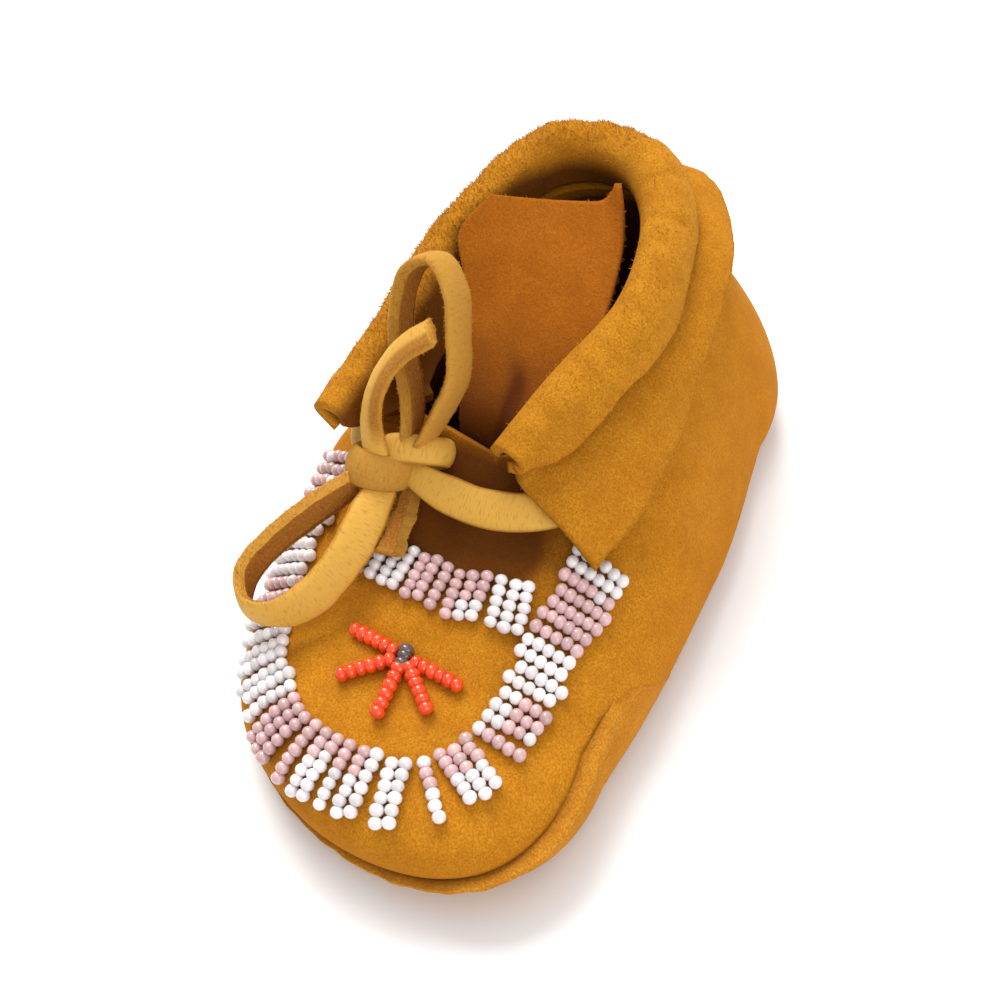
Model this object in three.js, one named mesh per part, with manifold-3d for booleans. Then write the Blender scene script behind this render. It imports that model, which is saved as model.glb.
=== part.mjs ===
// Beaded infant moccasin, right shoe, of soft smoked hide.
// Millimetres, +Z up. The toe points along -Y and the wearer's inner side is +X.
// The origin lies on the floor under the middle of the sole.

import * as THREE from 'three';
import { mergeVertices } from 'three/addons/utils/BufferGeometryUtils.js';
import Module from 'manifold-3d';

// Main sizes of the last and the hide.
const LENGTH = 118;
const WALL = 1.6;
const GAP = 0.3;
const TOE_REACH = 26;
const HEEL_REACH = 24.8;
const TOE_ROUNDNESS = 2.1;
const HEEL_ROUNDNESS = 2.15;
const WIDEST_HEIGHT = 7;
const LOWER_ROUND = 5;
const TOE_CURVE = 8;
const ANKLE_LEAN = -3;
const HEEL_LEAN = -8;
const TOE_SPRING = 2.2;
const WAIST_ARCH = 0.7;
const FLAP_THICK = 1.4;
const FLAP_SWELL = 1.5;
const PLAN_SHIFT = 0.74;

// The thong and the beadwork.
const THONG_WIDTH = 4.6;
const END_WIDTH = 3.6;
const THONG_THICK = 1.3;
const BEAD_HEIGHT = 1.7;

// Number of facets round the toe, along each side and round each half of the heel.
const TOE_STEPS = 20;
const SIDE_STEPS = 14;
const HEEL_STEPS = 6;
const ROUND_LEVELS = 3;
const ARCH_LEVELS = 10;
const CUFF_STEPS = 40;

// Sections of the last, from the toe's centre to the heel's centre: half-widths on the inner and the
// outer side at the widest height, height of the crest, and how square the arch is on either side.
const LAST_ROWS = [
  { at: -33, inner: 28.8, outer: 32.0, crest: 17.5, innerArch: 2.2, outerArch: 2.2 },
  { at: -20, inner: 30.5, outer: 33.8, crest: 22.0, innerArch: 2.1, outerArch: 2.9 },
  { at: -8, inner: 31.0, outer: 33.6, crest: 28.0, innerArch: 1.9, outerArch: 3.1 },
  { at: 4, inner: 30.4, outer: 30.2, crest: 40.0, innerArch: 1.6, outerArch: 1.9 },
  { at: 18, inner: 28.4, outer: 26.8, crest: 51.0, innerArch: 1.4, outerArch: 1.4 },
  { at: 35, inner: 24.4, outer: 24.4, crest: 53.5, innerArch: 1.5, outerArch: 1.5 },
];
const TOE_CENTRE = LAST_ROWS[0].at;
const HEEL_CENTRE = LAST_ROWS[LAST_ROWS.length - 1].at;

// Height of the ankle's edge along the foot. The throat is where the crest of the vamp meets it.
const TOPLINE_ROWS = [
  { at: -20, height: 30.5 },
  { at: -3, height: 32.0 },
  { at: 10, height: 34.5 },
  { at: 30, height: 39.0 },
  { at: 70, height: 41.5 },
];

// Seam between sole and upper, by the turn round the shoe in degrees: heel 0, inner side 90, toe 180,
// outer side 270. On the inner side the hide is folded and the edge lies close to the floor.
const SEAM_ROWS = [
  { at: 0, height: 8.0, lip: 0.5 },
  { at: 34, height: 2.6, lip: 0.0 },
  { at: 106, height: 2.6, lip: 0.0 },
  { at: 125, height: 13.4, lip: 0.5 },
  { at: 134, height: 12.8, lip: 1.1 },
  { at: 147, height: 11.4, lip: 1.3 },
  { at: 156, height: 9.4, lip: 1.3 },
  { at: 164, height: 6.8, lip: 1.3 },
  { at: 172, height: 5.4, lip: 1.3 },
  { at: 190, height: 4.8, lip: 1.2 },
  { at: 230, height: 5.2, lip: 1.1 },
  { at: 300, height: 6.6, lip: 0.8 },
  { at: 360, height: 8.0, lip: 0.5 },
];

// The rolled cuff from its inner front end round the heel to its outer front end: the inner edge of
// the rim, the width of the roll, how far its outer edge hangs below the rim, and the raw hem of the
// flap that comes out from under the roll.
const ANKLE_CENTRE = { x: -3, y: 20 };
const CUFF_ROWS = [
  { x: 2.2, y: -7.6, rim: 38.0, roll: 7.4, drop: 4.8, hemX: 21.0, hemY: -13, hemZ: 25.4 },
  { x: 5.8, y: 6, rim: 43.0, roll: 8.0, drop: 5.2, hemX: 22.9, hemY: 1, hemZ: 28.8 },
  { x: 8.7, y: 17.6, rim: 46.0, roll: 7.4, drop: 5.4, hemX: 21.2, hemY: 13.8, hemZ: 31.6 },
  { x: 6.7, y: 29.1, rim: 47.5, roll: 6.8, drop: 4.8, hemX: 19.3, hemY: 27.4, hemZ: 36.6 },
  { x: 2.7, y: 37.6, rim: 48.0, roll: 7.4, drop: 4.8, hemX: 15.4, hemY: 41.6, hemZ: 38.6 },
  { x: -4, y: 44.2, rim: 48.0, roll: 8.4, drop: 5.2, hemX: 4.5, hemY: 55.4, hemZ: 38.8 },
  { x: -11, y: 45.6, rim: 48.0, roll: 8.4, drop: 6.0, hemX: -9, hemY: 57.4, hemZ: 38.0 },
  { x: -16, y: 43.2, rim: 48.0, roll: 6.8, drop: 6.0, hemX: -20, hemY: 52, hemZ: 37.5 },
  { x: -18.8, y: 34.9, rim: 47.5, roll: 6.4, drop: 6.0, hemX: -25, hemY: 40, hemZ: 37.0 },
  { x: -18.8, y: 20, rim: 45.8, roll: 7.4, drop: 6.0, hemX: -26.4, hemY: 21, hemZ: 35.4 },
  { x: -18.4, y: 5, rim: 42.8, roll: 7.4, drop: 5.6, hemX: -26, hemY: 4, hemZ: 33.6 },
  { x: -20, y: -13, rim: 38.6, roll: 7.0, drop: 5.4, hemX: -25.4, hemY: -13.2, hemZ: 32.4 },
];

// The tongue from its root under the throat to its top edge: its outer and its inner edge, and the
// hollow between them.
const TONGUE_ROWS = [
  { outX: -8.4, outY: -1.4, outZ: 25.8, inX: 0.4, inY: -1.4, inZ: 26.2, hollow: -0.4 },
  { outX: -9.4, outY: 1.1, outZ: 31.9, inX: 0.6, inY: 1.1, inZ: 32.1, hollow: 0.0 },
  { outX: -12, outY: 7, outZ: 36.8, inX: 5.6, inY: 9.5, inZ: 35.8, hollow: 0.5 },
  { outX: -15.2, outY: 14, outZ: 42.0, inX: 6, inY: 17, inZ: 38.8, hollow: 1.0 },
  { outX: -18.6, outY: 19, outZ: 48.4, inX: 3.6, inY: 28, inZ: 42.6, hollow: 1.2 },
  { outX: -17.4, outY: 26, outZ: 50.6, inX: 0.5, inY: 37.3, inZ: 46.4, hollow: 0.8 },
];

// The thong's two runs from the ankle to the knot, and the free loops and ends of the bow. Each row is
// a point of the middle line with the direction across the thong.
const RUN_INNER = [
  { x: -7.5, y: -12.5, z: 29.8, ax: 0.1, ay: 0.78, az: 0.61 },
  { x: -2.9, y: -12.9, z: 29.2, ax: 0, ay: 0.79, az: 0.61 },
  { x: 2.1, y: -12.6, z: 28.8, ax: -0.1, ay: 0.79, az: 0.6 },
  { x: 7, y: -11.3, z: 28.9, ax: -0.3, ay: 0.75, az: 0.56 },
  { x: 10.8, y: -8.8, z: 29, ax: -0.5, ay: 0.64, az: 0.56 },
  { x: 14.4, y: -4.7, z: 29.2, ax: -0.62, ay: 0.52, az: 0.58 },
];
const RUN_OUTER = [
  { x: -22.9, y: -5.4, z: 30.5, ax: 0.5, ay: 0.6, az: 0.62 },
  { x: -21, y: -8.8, z: 31.2, ax: 0.42, ay: 0.6, az: 0.66 },
  { x: -18.8, y: -11.4, z: 30.4, ax: 0.2, ay: 0.7, az: 0.66 },
];

// Height of the thong's middle round the ankle, by the turn from the front over the inner side.
const THONG_ROWS = [
  { at: 48, height: 29.2 },
  { at: 70, height: 30.4 },
  { at: 100, height: 33.4 },
  { at: 130, height: 36.4 },
  { at: 160, height: 37.4 },
  { at: 200, height: 37.6 },
  { at: 250, height: 36.2 },
  { at: 285, height: 33.4 },
  { at: 318, height: 29.8 },
];
const KNOT = { x: -12.9, y: -11.3, z: 30.4, width: 9.5, depth: 8.6, height: 6.8 };
const LOOP_UPPER = [
  { x: -9.5, y: -9, z: 33.6, ax: -0.05, ay: -0.87, az: 0.49 },
  { x: -7.2, y: -5.8, z: 38.6, ax: -0.05, ay: -0.87, az: 0.49 },
  { x: -6, y: -3, z: 42.8, ax: -0.05, ay: -0.87, az: 0.49 },
  { x: -6.8, y: -0.1, z: 47.9, ax: -0.05, ay: -0.87, az: 0.49 },
  { x: -8.5, y: 3.1, z: 53.4, ax: -0.05, ay: -0.87, az: 0.49 },
  { x: -12.1, y: 5, z: 56.2, ax: -0.05, ay: -0.87, az: 0.49 },
  { x: -15.5, y: 4.1, z: 54.4, ax: -0.05, ay: -0.87, az: 0.49 },
  { x: -16.6, y: 1.3, z: 49.5, ax: -0.05, ay: -0.87, az: 0.49 },
  { x: -15.7, y: -1.5, z: 44.4, ax: -0.05, ay: -0.87, az: 0.49 },
  { x: -13.3, y: -4.3, z: 40.1, ax: -0.05, ay: -0.87, az: 0.49 },
  { x: -11.9, y: -6.6, z: 37.2, ax: -0.05, ay: -0.87, az: 0.49 },
  { x: -11.3, y: -9, z: 34, ax: -0.05, ay: -0.87, az: 0.49 },
];
const LOOP_LOWER = [
  { x: -16.4, y: -15.6, z: 29.6, ax: -0.1, ay: 0, az: 0.99 },
  { x: -18.2, y: -19.8, z: 28.9, ax: -0.1, ay: 0, az: 0.99 },
  { x: -21, y: -23.7, z: 27.2, ax: -0.1, ay: 0, az: 0.99 },
  { x: -24.4, y: -28.9, z: 24.6, ax: -0.15, ay: -0.1, az: 0.98 },
  { x: -26, y: -34.2, z: 22.2, ax: -0.17, ay: -0.2, az: 0.97 },
  { x: -23.7, y: -38.3, z: 20.8, ax: 0.13, ay: -0.08, az: 0.99 },
  { x: -18.7, y: -37.4, z: 20.8, ax: -0.21, ay: -0.04, az: 0.98 },
  { x: -14.9, y: -33, z: 22, ax: -0.71, ay: -0.15, az: 0.69 },
  { x: -12.6, y: -25.8, z: 25.6, ax: -0.8, ay: -0.45, az: 0.4 },
  { x: -12.6, y: -20.2, z: 28, ax: -0.79, ay: -0.49, az: 0.37 },
  { x: -13.2, y: -16.3, z: 28.8, ax: -0.79, ay: -0.49, az: 0.37 },
];
const END_UPPER = [
  { x: -14.7, y: -13.3, z: 34.1, ax: -0.98, ay: -0.17, az: -0.06 },
  { x: -15.2, y: -12, z: 38.5, ax: -0.96, ay: 0.25, az: -0.12 },
  { x: -14.9, y: -10.2, z: 42.6, ax: -0.84, ay: 0.52, az: -0.13 },
  { x: -13.9, y: -8.1, z: 45.6, ax: -0.76, ay: 0.64, az: -0.09 },
  { x: -11.8, y: -5.7, z: 48.5, ax: -0.66, ay: 0.75, az: 0.06 },
  { x: -8.1, y: -3.4, z: 51.3, ax: -0.6, ay: 0.79, az: 0.14 },
];
const END_LOWER = [
  { x: -10.6, y: -13.8, z: 26.3, ax: -0.94, ay: -0.34, az: 0.02 },
  { x: -9.3, y: -18.4, z: 25.6, ax: -0.94, ay: -0.34, az: 0.02 },
  { x: -8.2, y: -23.2, z: 24.7, ax: -0.94, ay: -0.34, az: 0.02 },
];

// Middle line of the beaded border and of the cross band in plan, with the width of each, and the flower.
const BORDER_ROWS = [
  { x: 19.6, y: -8.8, width: 8.2 },
  { x: 19.4, y: -21.5, width: 8.0 },
  { x: 19.3, y: -32, width: 8.0 },
  { x: 18.8, y: -42, width: 8.4 },
  { x: 13.6, y: -50, width: 9.2 },
  { x: 4.2, y: -52.4, width: 9.4 },
  { x: -6.6, y: -51.6, width: 9.4 },
  { x: -15.5, y: -46.6, width: 9.2 },
  { x: -22.6, y: -38.6, width: 9.0 },
  { x: -25.4, y: -29, width: 8.8 },
  { x: -26, y: -18, width: 8.6 },
  { x: -25.2, y: -8, width: 8.4 },
];
const CROSSBAND_ROWS = [
  { x: 14.4, y: -20.4, width: 6.8 },
  { x: 5, y: -22.4, width: 6.8 },
  { x: -5, y: -22.6, width: 6.8 },
  { x: -19.6, y: -20.6, width: 6.8 },
];
const FLOWER = { x: 1.2, y: -34, petal: 10.6, width: 2.3, centre: 2.2 };
const PETAL_TURNS = [172, 220, 270, 322, 357];

const SUEDE = { color: 0xc4861f, roughness: 0.95, metalness: 0 };
const SUEDE_DARK = { color: 0xb8741a, roughness: 0.95, metalness: 0 };
const THONG_HIDE = { color: 0xd9a545, roughness: 0.7, metalness: 0 };
const BEAD_PALE = { color: 0xe6d6d2, roughness: 0.25, metalness: 0 };
const BEAD_RED = { color: 0xf0512a, roughness: 0.25, metalness: 0 };

const wasm = await Module();
wasm.setup();

/** Smooth curve through one column of a table, with no overshoot between its rows. */
function column(rows, name) {
  const last = rows.length - 1;
  const slopes = [];
  for (let i = 0; i < last; i += 1) {
    slopes.push((rows[i + 1][name] - rows[i][name]) / (rows[i + 1].at - rows[i].at));
  }
  const tangents = rows.map((row, i) => {
    if (i === 0) return slopes[0];
    if (i === last) return slopes[last - 1];
    const product = slopes[i - 1] * slopes[i];
    return product <= 0 ? 0 : (2 * product) / (slopes[i - 1] + slopes[i]);
  });
  return (at) => {
    const x = THREE.MathUtils.clamp(at, rows[0].at, rows[last].at);
    let i = 0;
    while (i < last - 1 && x > rows[i + 1].at) i += 1;
    const span = rows[i + 1].at - rows[i].at;
    const t = (x - rows[i].at) / span;
    const level = THREE.MathUtils.lerp(rows[i][name], rows[i + 1][name], t * t * (3 - 2 * t));
    const leaving = (1 - t) * (1 - t) * t * span * tangents[i];
    const arriving = t * t * (t - 1) * span * tangents[i + 1];
    return level + leaving + arriving;
  };
}

const innerWidth = column(LAST_ROWS, 'inner');
const outerWidth = column(LAST_ROWS, 'outer');
const crestHeight = column(LAST_ROWS, 'crest');
const innerArch = column(LAST_ROWS, 'innerArch');
const outerArch = column(LAST_ROWS, 'outerArch');
const toplineHeight = column(TOPLINE_ROWS, 'height');
const seamHeight = column(SEAM_ROWS, 'height');
const seamLip = column(SEAM_ROWS, 'lip');

/** Sideways curve of the foot's middle line, towards the inner side at the toe. */
function middleLine(y) {
  const t = THREE.MathUtils.clamp((10 - y) / (10 + LENGTH / 2), 0, 1);
  return TOE_CURVE * t * t;
}

/** Sideways lean of the ankle, growing with the height behind the throat and more at the heel. */
function ankleLean(y, z) {
  const behindThroat = THREE.MathUtils.clamp((y + 10) / 20, 0, 1);
  const atHeel = THREE.MathUtils.clamp((y - 10) / 30, 0, 1);
  const rise = Math.max(0, z - WIDEST_HEIGHT) / 38;
  return THREE.MathUtils.lerp(ANKLE_LEAN * behindThroat, HEEL_LEAN, atHeel) * rise ** 1.7;
}

/** Lift of the sole off the floor: spring under the toe and a low arch under the waist. */
function floorLift(y) {
  const toe = THREE.MathUtils.clamp((-42 - y) / 17, 0, 1);
  const waist = THREE.MathUtils.clamp((y + 14) / 36, 0, 1);
  return TOE_SPRING * toe * toe + WAIST_ARCH * Math.sin(Math.PI * waist) ** 2;
}

/** How square the arch is in a column, between its inner and its outer side. */
function squareness(col) {
  return THREE.MathUtils.lerp(outerArch(col.spine), innerArch(col.spine), (1 + col.dx) / 2);
}

/** Radius of a rounded end with two half-axes, at an angle from the first. */
function endRadius(angle, side, reach, roundness) {
  const across = Math.abs(Math.cos(angle) / side) ** roundness;
  const along = Math.abs(Math.sin(angle) / reach) ** roundness;
  return (across + along) ** (-1 / roundness);
}

/** Columns round the last: where each starts on the spine, its direction and its radius. */
function makeColumns() {
  const columns = [];
  const add = (spine, station, angle, radius) => {
    columns.push({ spine, station, dx: Math.cos(angle), dy: Math.sin(angle), radius });
  };
  for (let k = 0; k < HEEL_STEPS; k += 1) {
    const angle = (Math.PI / 2) * (1 - k / HEEL_STEPS);
    const radius = endRadius(angle, innerWidth(HEEL_CENTRE), HEEL_REACH, HEEL_ROUNDNESS);
    add(HEEL_CENTRE, 0, angle, radius);
  }
  for (let k = 0; k < SIDE_STEPS; k += 1) {
    const y = THREE.MathUtils.lerp(HEEL_CENTRE, TOE_CENTRE, k / SIDE_STEPS);
    add(y, k, 0, innerWidth(y));
  }
  for (let k = 0; k <= TOE_STEPS; k += 1) {
    const angle = -(Math.PI * k) / TOE_STEPS;
    const side = k * 2 < TOE_STEPS ? innerWidth(TOE_CENTRE) : outerWidth(TOE_CENTRE);
    add(TOE_CENTRE, SIDE_STEPS, angle, endRadius(angle, side, TOE_REACH, TOE_ROUNDNESS));
  }
  for (let k = 1; k <= SIDE_STEPS; k += 1) {
    const y = THREE.MathUtils.lerp(TOE_CENTRE, HEEL_CENTRE, k / SIDE_STEPS);
    add(y, SIDE_STEPS - k, Math.PI, outerWidth(y));
  }
  for (let k = 1; k < HEEL_STEPS; k += 1) {
    const angle = Math.PI - (Math.PI / 2) * (k / HEEL_STEPS);
    const radius = endRadius(angle, outerWidth(HEEL_CENTRE), HEEL_REACH, HEEL_ROUNDNESS);
    add(HEEL_CENTRE, 0, angle, radius);
  }
  return columns;
}

const COLUMNS = makeColumns();

/** Point of a column at a distance from the spine and a height above the sole's plane. */
function place(col, radius, z) {
  const y = col.spine + col.dy * radius;
  const x = col.dx * radius + middleLine(y) + ankleLean(y, z);
  return new THREE.Vector3(x, y, z + floorLift(y));
}

/** Distance of the last's surface from the spine at a height, for a surface moved out by an offset. */
function radiusAt(col, z, offset) {
  const radius = col.radius + offset;
  if (z <= WIDEST_HEIGHT) {
    const down = THREE.MathUtils.clamp((WIDEST_HEIGHT - z) / (WIDEST_HEIGHT + offset), 0, 1);
    return radius - LOWER_ROUND * (1 - Math.sqrt(1 - down * down));
  }
  const square = squareness(col);
  const rise = (z - WIDEST_HEIGHT) / (crestHeight(col.spine) + offset - WIDEST_HEIGHT);
  return radius * (1 - THREE.MathUtils.clamp(rise, 0, 1) ** square) ** (1 / square);
}

/** Point of the last's surface in a column at a height. */
function onLast(col, z, offset) {
  return place(col, Math.max(0, radiusAt(col, z, offset)), z);
}

/** Turn round the shoe in degrees: heel 0, inner side 90, toe 180, outer side 270. */
function turnOf(col) {
  const p = place(col, col.radius, WIDEST_HEIGHT);
  return (THREE.MathUtils.radToDeg(Math.atan2(p.x, p.y)) + 360) % 360;
}

/** Geometry of points and triangles, with equal points merged and empty triangles dropped. */
function geometryFrom(points, triangles) {
  const kept = triangles.filter(([a, b, c]) => {
    const same = (p, q) => points[p].distanceToSquared(points[q]) < 1e-8;
    return !(same(a, b) || same(b, c) || same(a, c));
  });
  const geometry = new THREE.BufferGeometry();
  geometry.setAttribute('position', new THREE.Float32BufferAttribute(points.flatMap((p) => p.toArray()), 3));
  geometry.setIndex(kept.flat());
  return mergeVertices(geometry, 1e-4);
}

/** Closed solid of a geometry, for joining and cutting. */
function solidOf(geometry) {
  geometry.deleteAttribute('normal');
  geometry.deleteAttribute('uv');
  const merged = mergeVertices(geometry, 1e-4);
  const vertProperties = new Float32Array(merged.attributes.position.array);
  const triVerts = new Uint32Array(merged.index.array);
  return new wasm.Manifold(new wasm.Mesh({ numProp: 3, vertProperties, triVerts }));
}

/** Geometry of a solid. */
function geometryOf(solid) {
  const mesh = solid.getMesh();
  const geometry = new THREE.BufferGeometry();
  geometry.setAttribute('position', new THREE.BufferAttribute(new Float32Array(mesh.vertProperties), 3));
  geometry.setIndex(new THREE.BufferAttribute(new Uint32Array(mesh.triVerts), 1));
  return geometry;
}

/** Closed body through rings that all run the same way round; the first and the last ring shut flat. */
function ringBody(rings) {
  const count = rings[0].length;
  const triangles = [];
  for (let j = 0; j < rings.length - 1; j += 1) {
    for (let i = 0; i < count; i += 1) {
      const a = j * count + i;
      const b = j * count + ((i + 1) % count);
      triangles.push([a, b + count, b], [a, a + count, b + count]);
    }
  }
  return geometryFrom(rings.flat(), triangles);
}

/** The whole last moved out by an offset: flat below, rounded lower edge, arch up to the crest. */
function lastBody(offset) {
  const rings = [COLUMNS.map((col) => place(col, 0, -offset))];
  for (let j = 0; j <= ROUND_LEVELS; j += 1) {
    const down = Math.cos((Math.PI / 2) * (j / ROUND_LEVELS));
    const z = WIDEST_HEIGHT - (WIDEST_HEIGHT + offset) * down;
    rings.push(COLUMNS.map((col) => onLast(col, z, offset)));
  }
  for (let j = 1; j <= ARCH_LEVELS; j += 1) {
    const angle = (Math.PI / 2) * (j / ARCH_LEVELS);
    rings.push(COLUMNS.map((col) => {
      const power = 2 / squareness(col);
      const rise = Math.sin(angle) ** power;
      const shrink = j === ARCH_LEVELS ? 0 : Math.cos(angle) ** power;
      const crest = crestHeight(col.spine) + offset;
      return place(col, (col.radius + offset) * shrink, THREE.MathUtils.lerp(WIDEST_HEIGHT, crest, rise));
    }));
  }
  return ringBody(rings);
}

/** Closed prism over a plan outline, between two heights. */
function planPrism(outline, bottom, top) {
  const shape = new THREE.Shape(outline);
  const geometry = new THREE.ExtrudeGeometry(shape, { depth: top - bottom, bevelEnabled: false });
  geometry.translate(0, 0, bottom);
  return geometry;
}

/** Everything above the ankle's edge, as one prism across the shoe. */
function aboveTopline() {
  const outline = TOPLINE_ROWS.map((row) => new THREE.Vector2(row.at, row.height));
  for (let k = 1; k < 12; k += 1) {
    const at = THREE.MathUtils.lerp(TOPLINE_ROWS[0].at, TOPLINE_ROWS[4].at, k / 12);
    outline.push(new THREE.Vector2(at, toplineHeight(at)));
  }
  outline.sort((a, b) => a.x - b.x);
  outline.push(new THREE.Vector2(TOPLINE_ROWS[4].at, 120));
  outline.push(new THREE.Vector2(TOPLINE_ROWS[0].at, 120));
  const geometry = planPrism(outline, -60, 60);
  geometry.applyMatrix4(new THREE.Matrix4().makeBasis(
    new THREE.Vector3(0, 1, 0),
    new THREE.Vector3(0, 0, 1),
    new THREE.Vector3(1, 0, 0),
  ));
  return geometry;
}

/** Everything that belongs to the sole, up to its seam and a gap above it. */
function belowSeam(gap) {
  const seam = (col) => seamHeight(turnOf(col)) + gap;
  const level = (col, radius) => {
    const wall = onLast(col, seam(col), 0);
    return place(col, radius, 0).setZ(seam(col) + floorLift(wall.y));
  };
  return ringBody([
    COLUMNS.map((col) => place(col, 0, -6)),
    COLUMNS.map((col) => place(col, col.radius + 9, -6)),
    COLUMNS.map((col) => level(col, col.radius + 9)),
    COLUMNS.map((col) => level(col, col.radius * 0.72)),
    COLUMNS.map((col) => place(col, 0, 2.6 + gap)),
  ]);
}

/** The sole: a tray with a rounded lower edge, turned up to the seam, where its lip stands out. */
function makeSole() {
  const levels = 7;
  const outside = [];
  const inside = [];
  for (let j = 0; j <= levels; j += 1) {
    const share = j / levels;
    outside.push(COLUMNS.map((col) => {
      const turn = turnOf(col);
      const z = seamHeight(turn) * share;
      const below = ((1 - share) * seamHeight(turn) - 1.2) / 1.6;
      const bulge = seamLip(turn) * Math.exp(-below * below);
      return place(col, radiusAt(col, z, 0) + bulge, z);
    }));
    inside.push(COLUMNS.map((col) => {
      const z = THREE.MathUtils.lerp(WALL, seamHeight(turnOf(col)), share);
      return onLast(col, z, -WALL);
    }));
  }
  return ringBody([
    COLUMNS.map((col) => place(col, 0, 0)),
    ...outside,
    ...inside.reverse(),
    COLUMNS.map((col) => place(col, 0, WALL)),
  ]);
}

/** The upper: the last's wall above the seam, open at the ankle, the throat and underneath. */
function makeUpper() {
  const shell = solidOf(lastBody(0)).subtract(solidOf(lastBody(-WALL)));
  return geometryOf(shell.subtract(solidOf(belowSeam(1.5 * GAP))).subtract(solidOf(aboveTopline())));
}

/** A sheet of even thickness on a grid of points, rows along it and columns across it. */
function sheet(grid, thickness) {
  const rows = grid.length;
  const across = grid[0].length;
  const points = [];
  for (const side of [1, -1]) {
    grid.forEach((row, i) => row.forEach((p, j) => {
      const along = grid[Math.min(i + 1, rows - 1)][j].clone().sub(grid[Math.max(i - 1, 0)][j]);
      const over = row[Math.min(j + 1, across - 1)].clone().sub(row[Math.max(j - 1, 0)]);
      const normal = along.cross(over).normalize();
      points.push(p.clone().addScaledVector(normal, (side * thickness) / 2));
    }));
  }
  const top = (i, j) => i * across + j;
  const low = (i, j) => rows * across + i * across + j;
  const triangles = [];
  const quad = (a, b, c, d) => triangles.push([a, b, c], [a, c, d]);
  for (let i = 0; i < rows - 1; i += 1) {
    for (let j = 0; j < across - 1; j += 1) {
      quad(top(i, j), top(i + 1, j), top(i + 1, j + 1), top(i, j + 1));
      quad(low(i, j), low(i, j + 1), low(i + 1, j + 1), low(i + 1, j));
    }
    quad(top(i + 1, 0), top(i, 0), low(i, 0), low(i + 1, 0));
    quad(top(i, across - 1), top(i + 1, across - 1), low(i + 1, across - 1), low(i, across - 1));
  }
  for (let j = 0; j < across - 1; j += 1) {
    quad(top(0, j), top(0, j + 1), low(0, j + 1), low(0, j));
    quad(top(rows - 1, j + 1), top(rows - 1, j), low(rows - 1, j), low(rows - 1, j + 1));
  }
  return geometryFrom(points, triangles);
}

/** Points of a smooth curve through the rows of a table, for three of its columns. */
function curvePoints(rows, names, steps) {
  const [a, b, c] = names;
  const knots = rows.map((row) => new THREE.Vector3(row[a], row[b], row[c]));
  return new THREE.CatmullRomCurve3(knots, false, 'centripetal').getPoints(steps);
}

/** A flat thong of a width through rows of points and directions across it. */
function thong(rows, width, steps) {
  const middle = curvePoints(rows, ['x', 'y', 'z'], steps);
  const across = curvePoints(rows, ['ax', 'ay', 'az'], steps);
  const grid = middle.map((p, i) => {
    const half = across[i].clone().setLength(width / 2);
    return [p.clone().sub(half), p.clone(), p.clone().add(half)];
  });
  return sheet(grid, THONG_THICK);
}

/** Turn round the ankle in degrees from the front over the inner side. */
function ankleTurn(p) {
  const angle = Math.atan2(p.x - ANKLE_CENTRE.x, ANKLE_CENTRE.y - p.y);
  return (THREE.MathUtils.radToDeg(angle) + 360) % 360;
}

/** Point off the ankle's wall at a turn and a height, a distance out from the wall. */
function onAnkle(turn, z, offset) {
  const angle = THREE.MathUtils.degToRad(turn);
  const ray = new THREE.Vector2(Math.sin(angle), -Math.cos(angle));
  const ring = COLUMNS.filter((col) => crestHeight(col.spine) > z + 0.5).map((col) => {
    const radius = radiusAt(col, z, 0);
    const slope = (radiusAt(col, z - 0.5, 0) - radius) / 0.5;
    return place(col, radius + offset * Math.hypot(1, slope), z);
  });
  let found = null;
  ring.forEach((p, i) => {
    const q = ring[(i + 1) % ring.length];
    const start = new THREE.Vector2(p.x - ANKLE_CENTRE.x, p.y - ANKLE_CENTRE.y);
    const edge = new THREE.Vector2(q.x - p.x, q.y - p.y);
    const share = -start.cross(ray) / edge.cross(ray);
    const ahead = start.clone().addScaledVector(edge, share).dot(ray) > 0;
    if (share >= 0 && share <= 1 && ahead) found = p.clone().lerp(q, share);
  });
  return found;
}

/** Height of the ankle's edge at a turn. */
function edgeHeight(turn) {
  let z = 34;
  for (let k = 0; k < 4; k += 1) {
    z = toplineHeight(onAnkle(turn, z, 0).y);
  }
  return z;
}

/** Sections of the cuff: the rim's point, and a function for points out from it and up from it. */
function cuffSections() {
  const rim = curvePoints(CUFF_ROWS, ['x', 'y', 'rim'], CUFF_STEPS);
  const form = curvePoints(CUFF_ROWS, ['roll', 'drop', 'rim'], CUFF_STEPS);
  return rim.map((p, i) => {
    const tangent = rim[Math.min(i + 1, CUFF_STEPS)].clone().sub(rim[Math.max(i - 1, 0)]);
    const out = new THREE.Vector3(tangent.y, -tangent.x, 0).normalize();
    const at = (side, up) => p.clone().addScaledVector(out, side * form[i].x).setZ(p.z + up);
    return { rim: p, at, drop: form[i].y };
  });
}

/** The cuff: a band that stands on the ankle's edge and rolls over outwards. */
function makeCuff() {
  const grid = cuffSections().map(({ rim, at, drop }) => {
    const turn = ankleTurn(rim);
    const edge = edgeHeight(turn) + GAP + 0.9;
    const foot = onAnkle(turn, edge, -WALL / 2).setZ(edge);
    return [
      foot,
      foot.clone().lerp(at(0, -4), 0.55),
      at(0, -2.6),
      at(0.12, -0.5),
      at(0.38, 0.6),
      at(0.68, -0.2),
      at(0.92, -2.4),
      at(1, -drop),
    ];
  });
  return sheet(grid, WALL);
}

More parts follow.
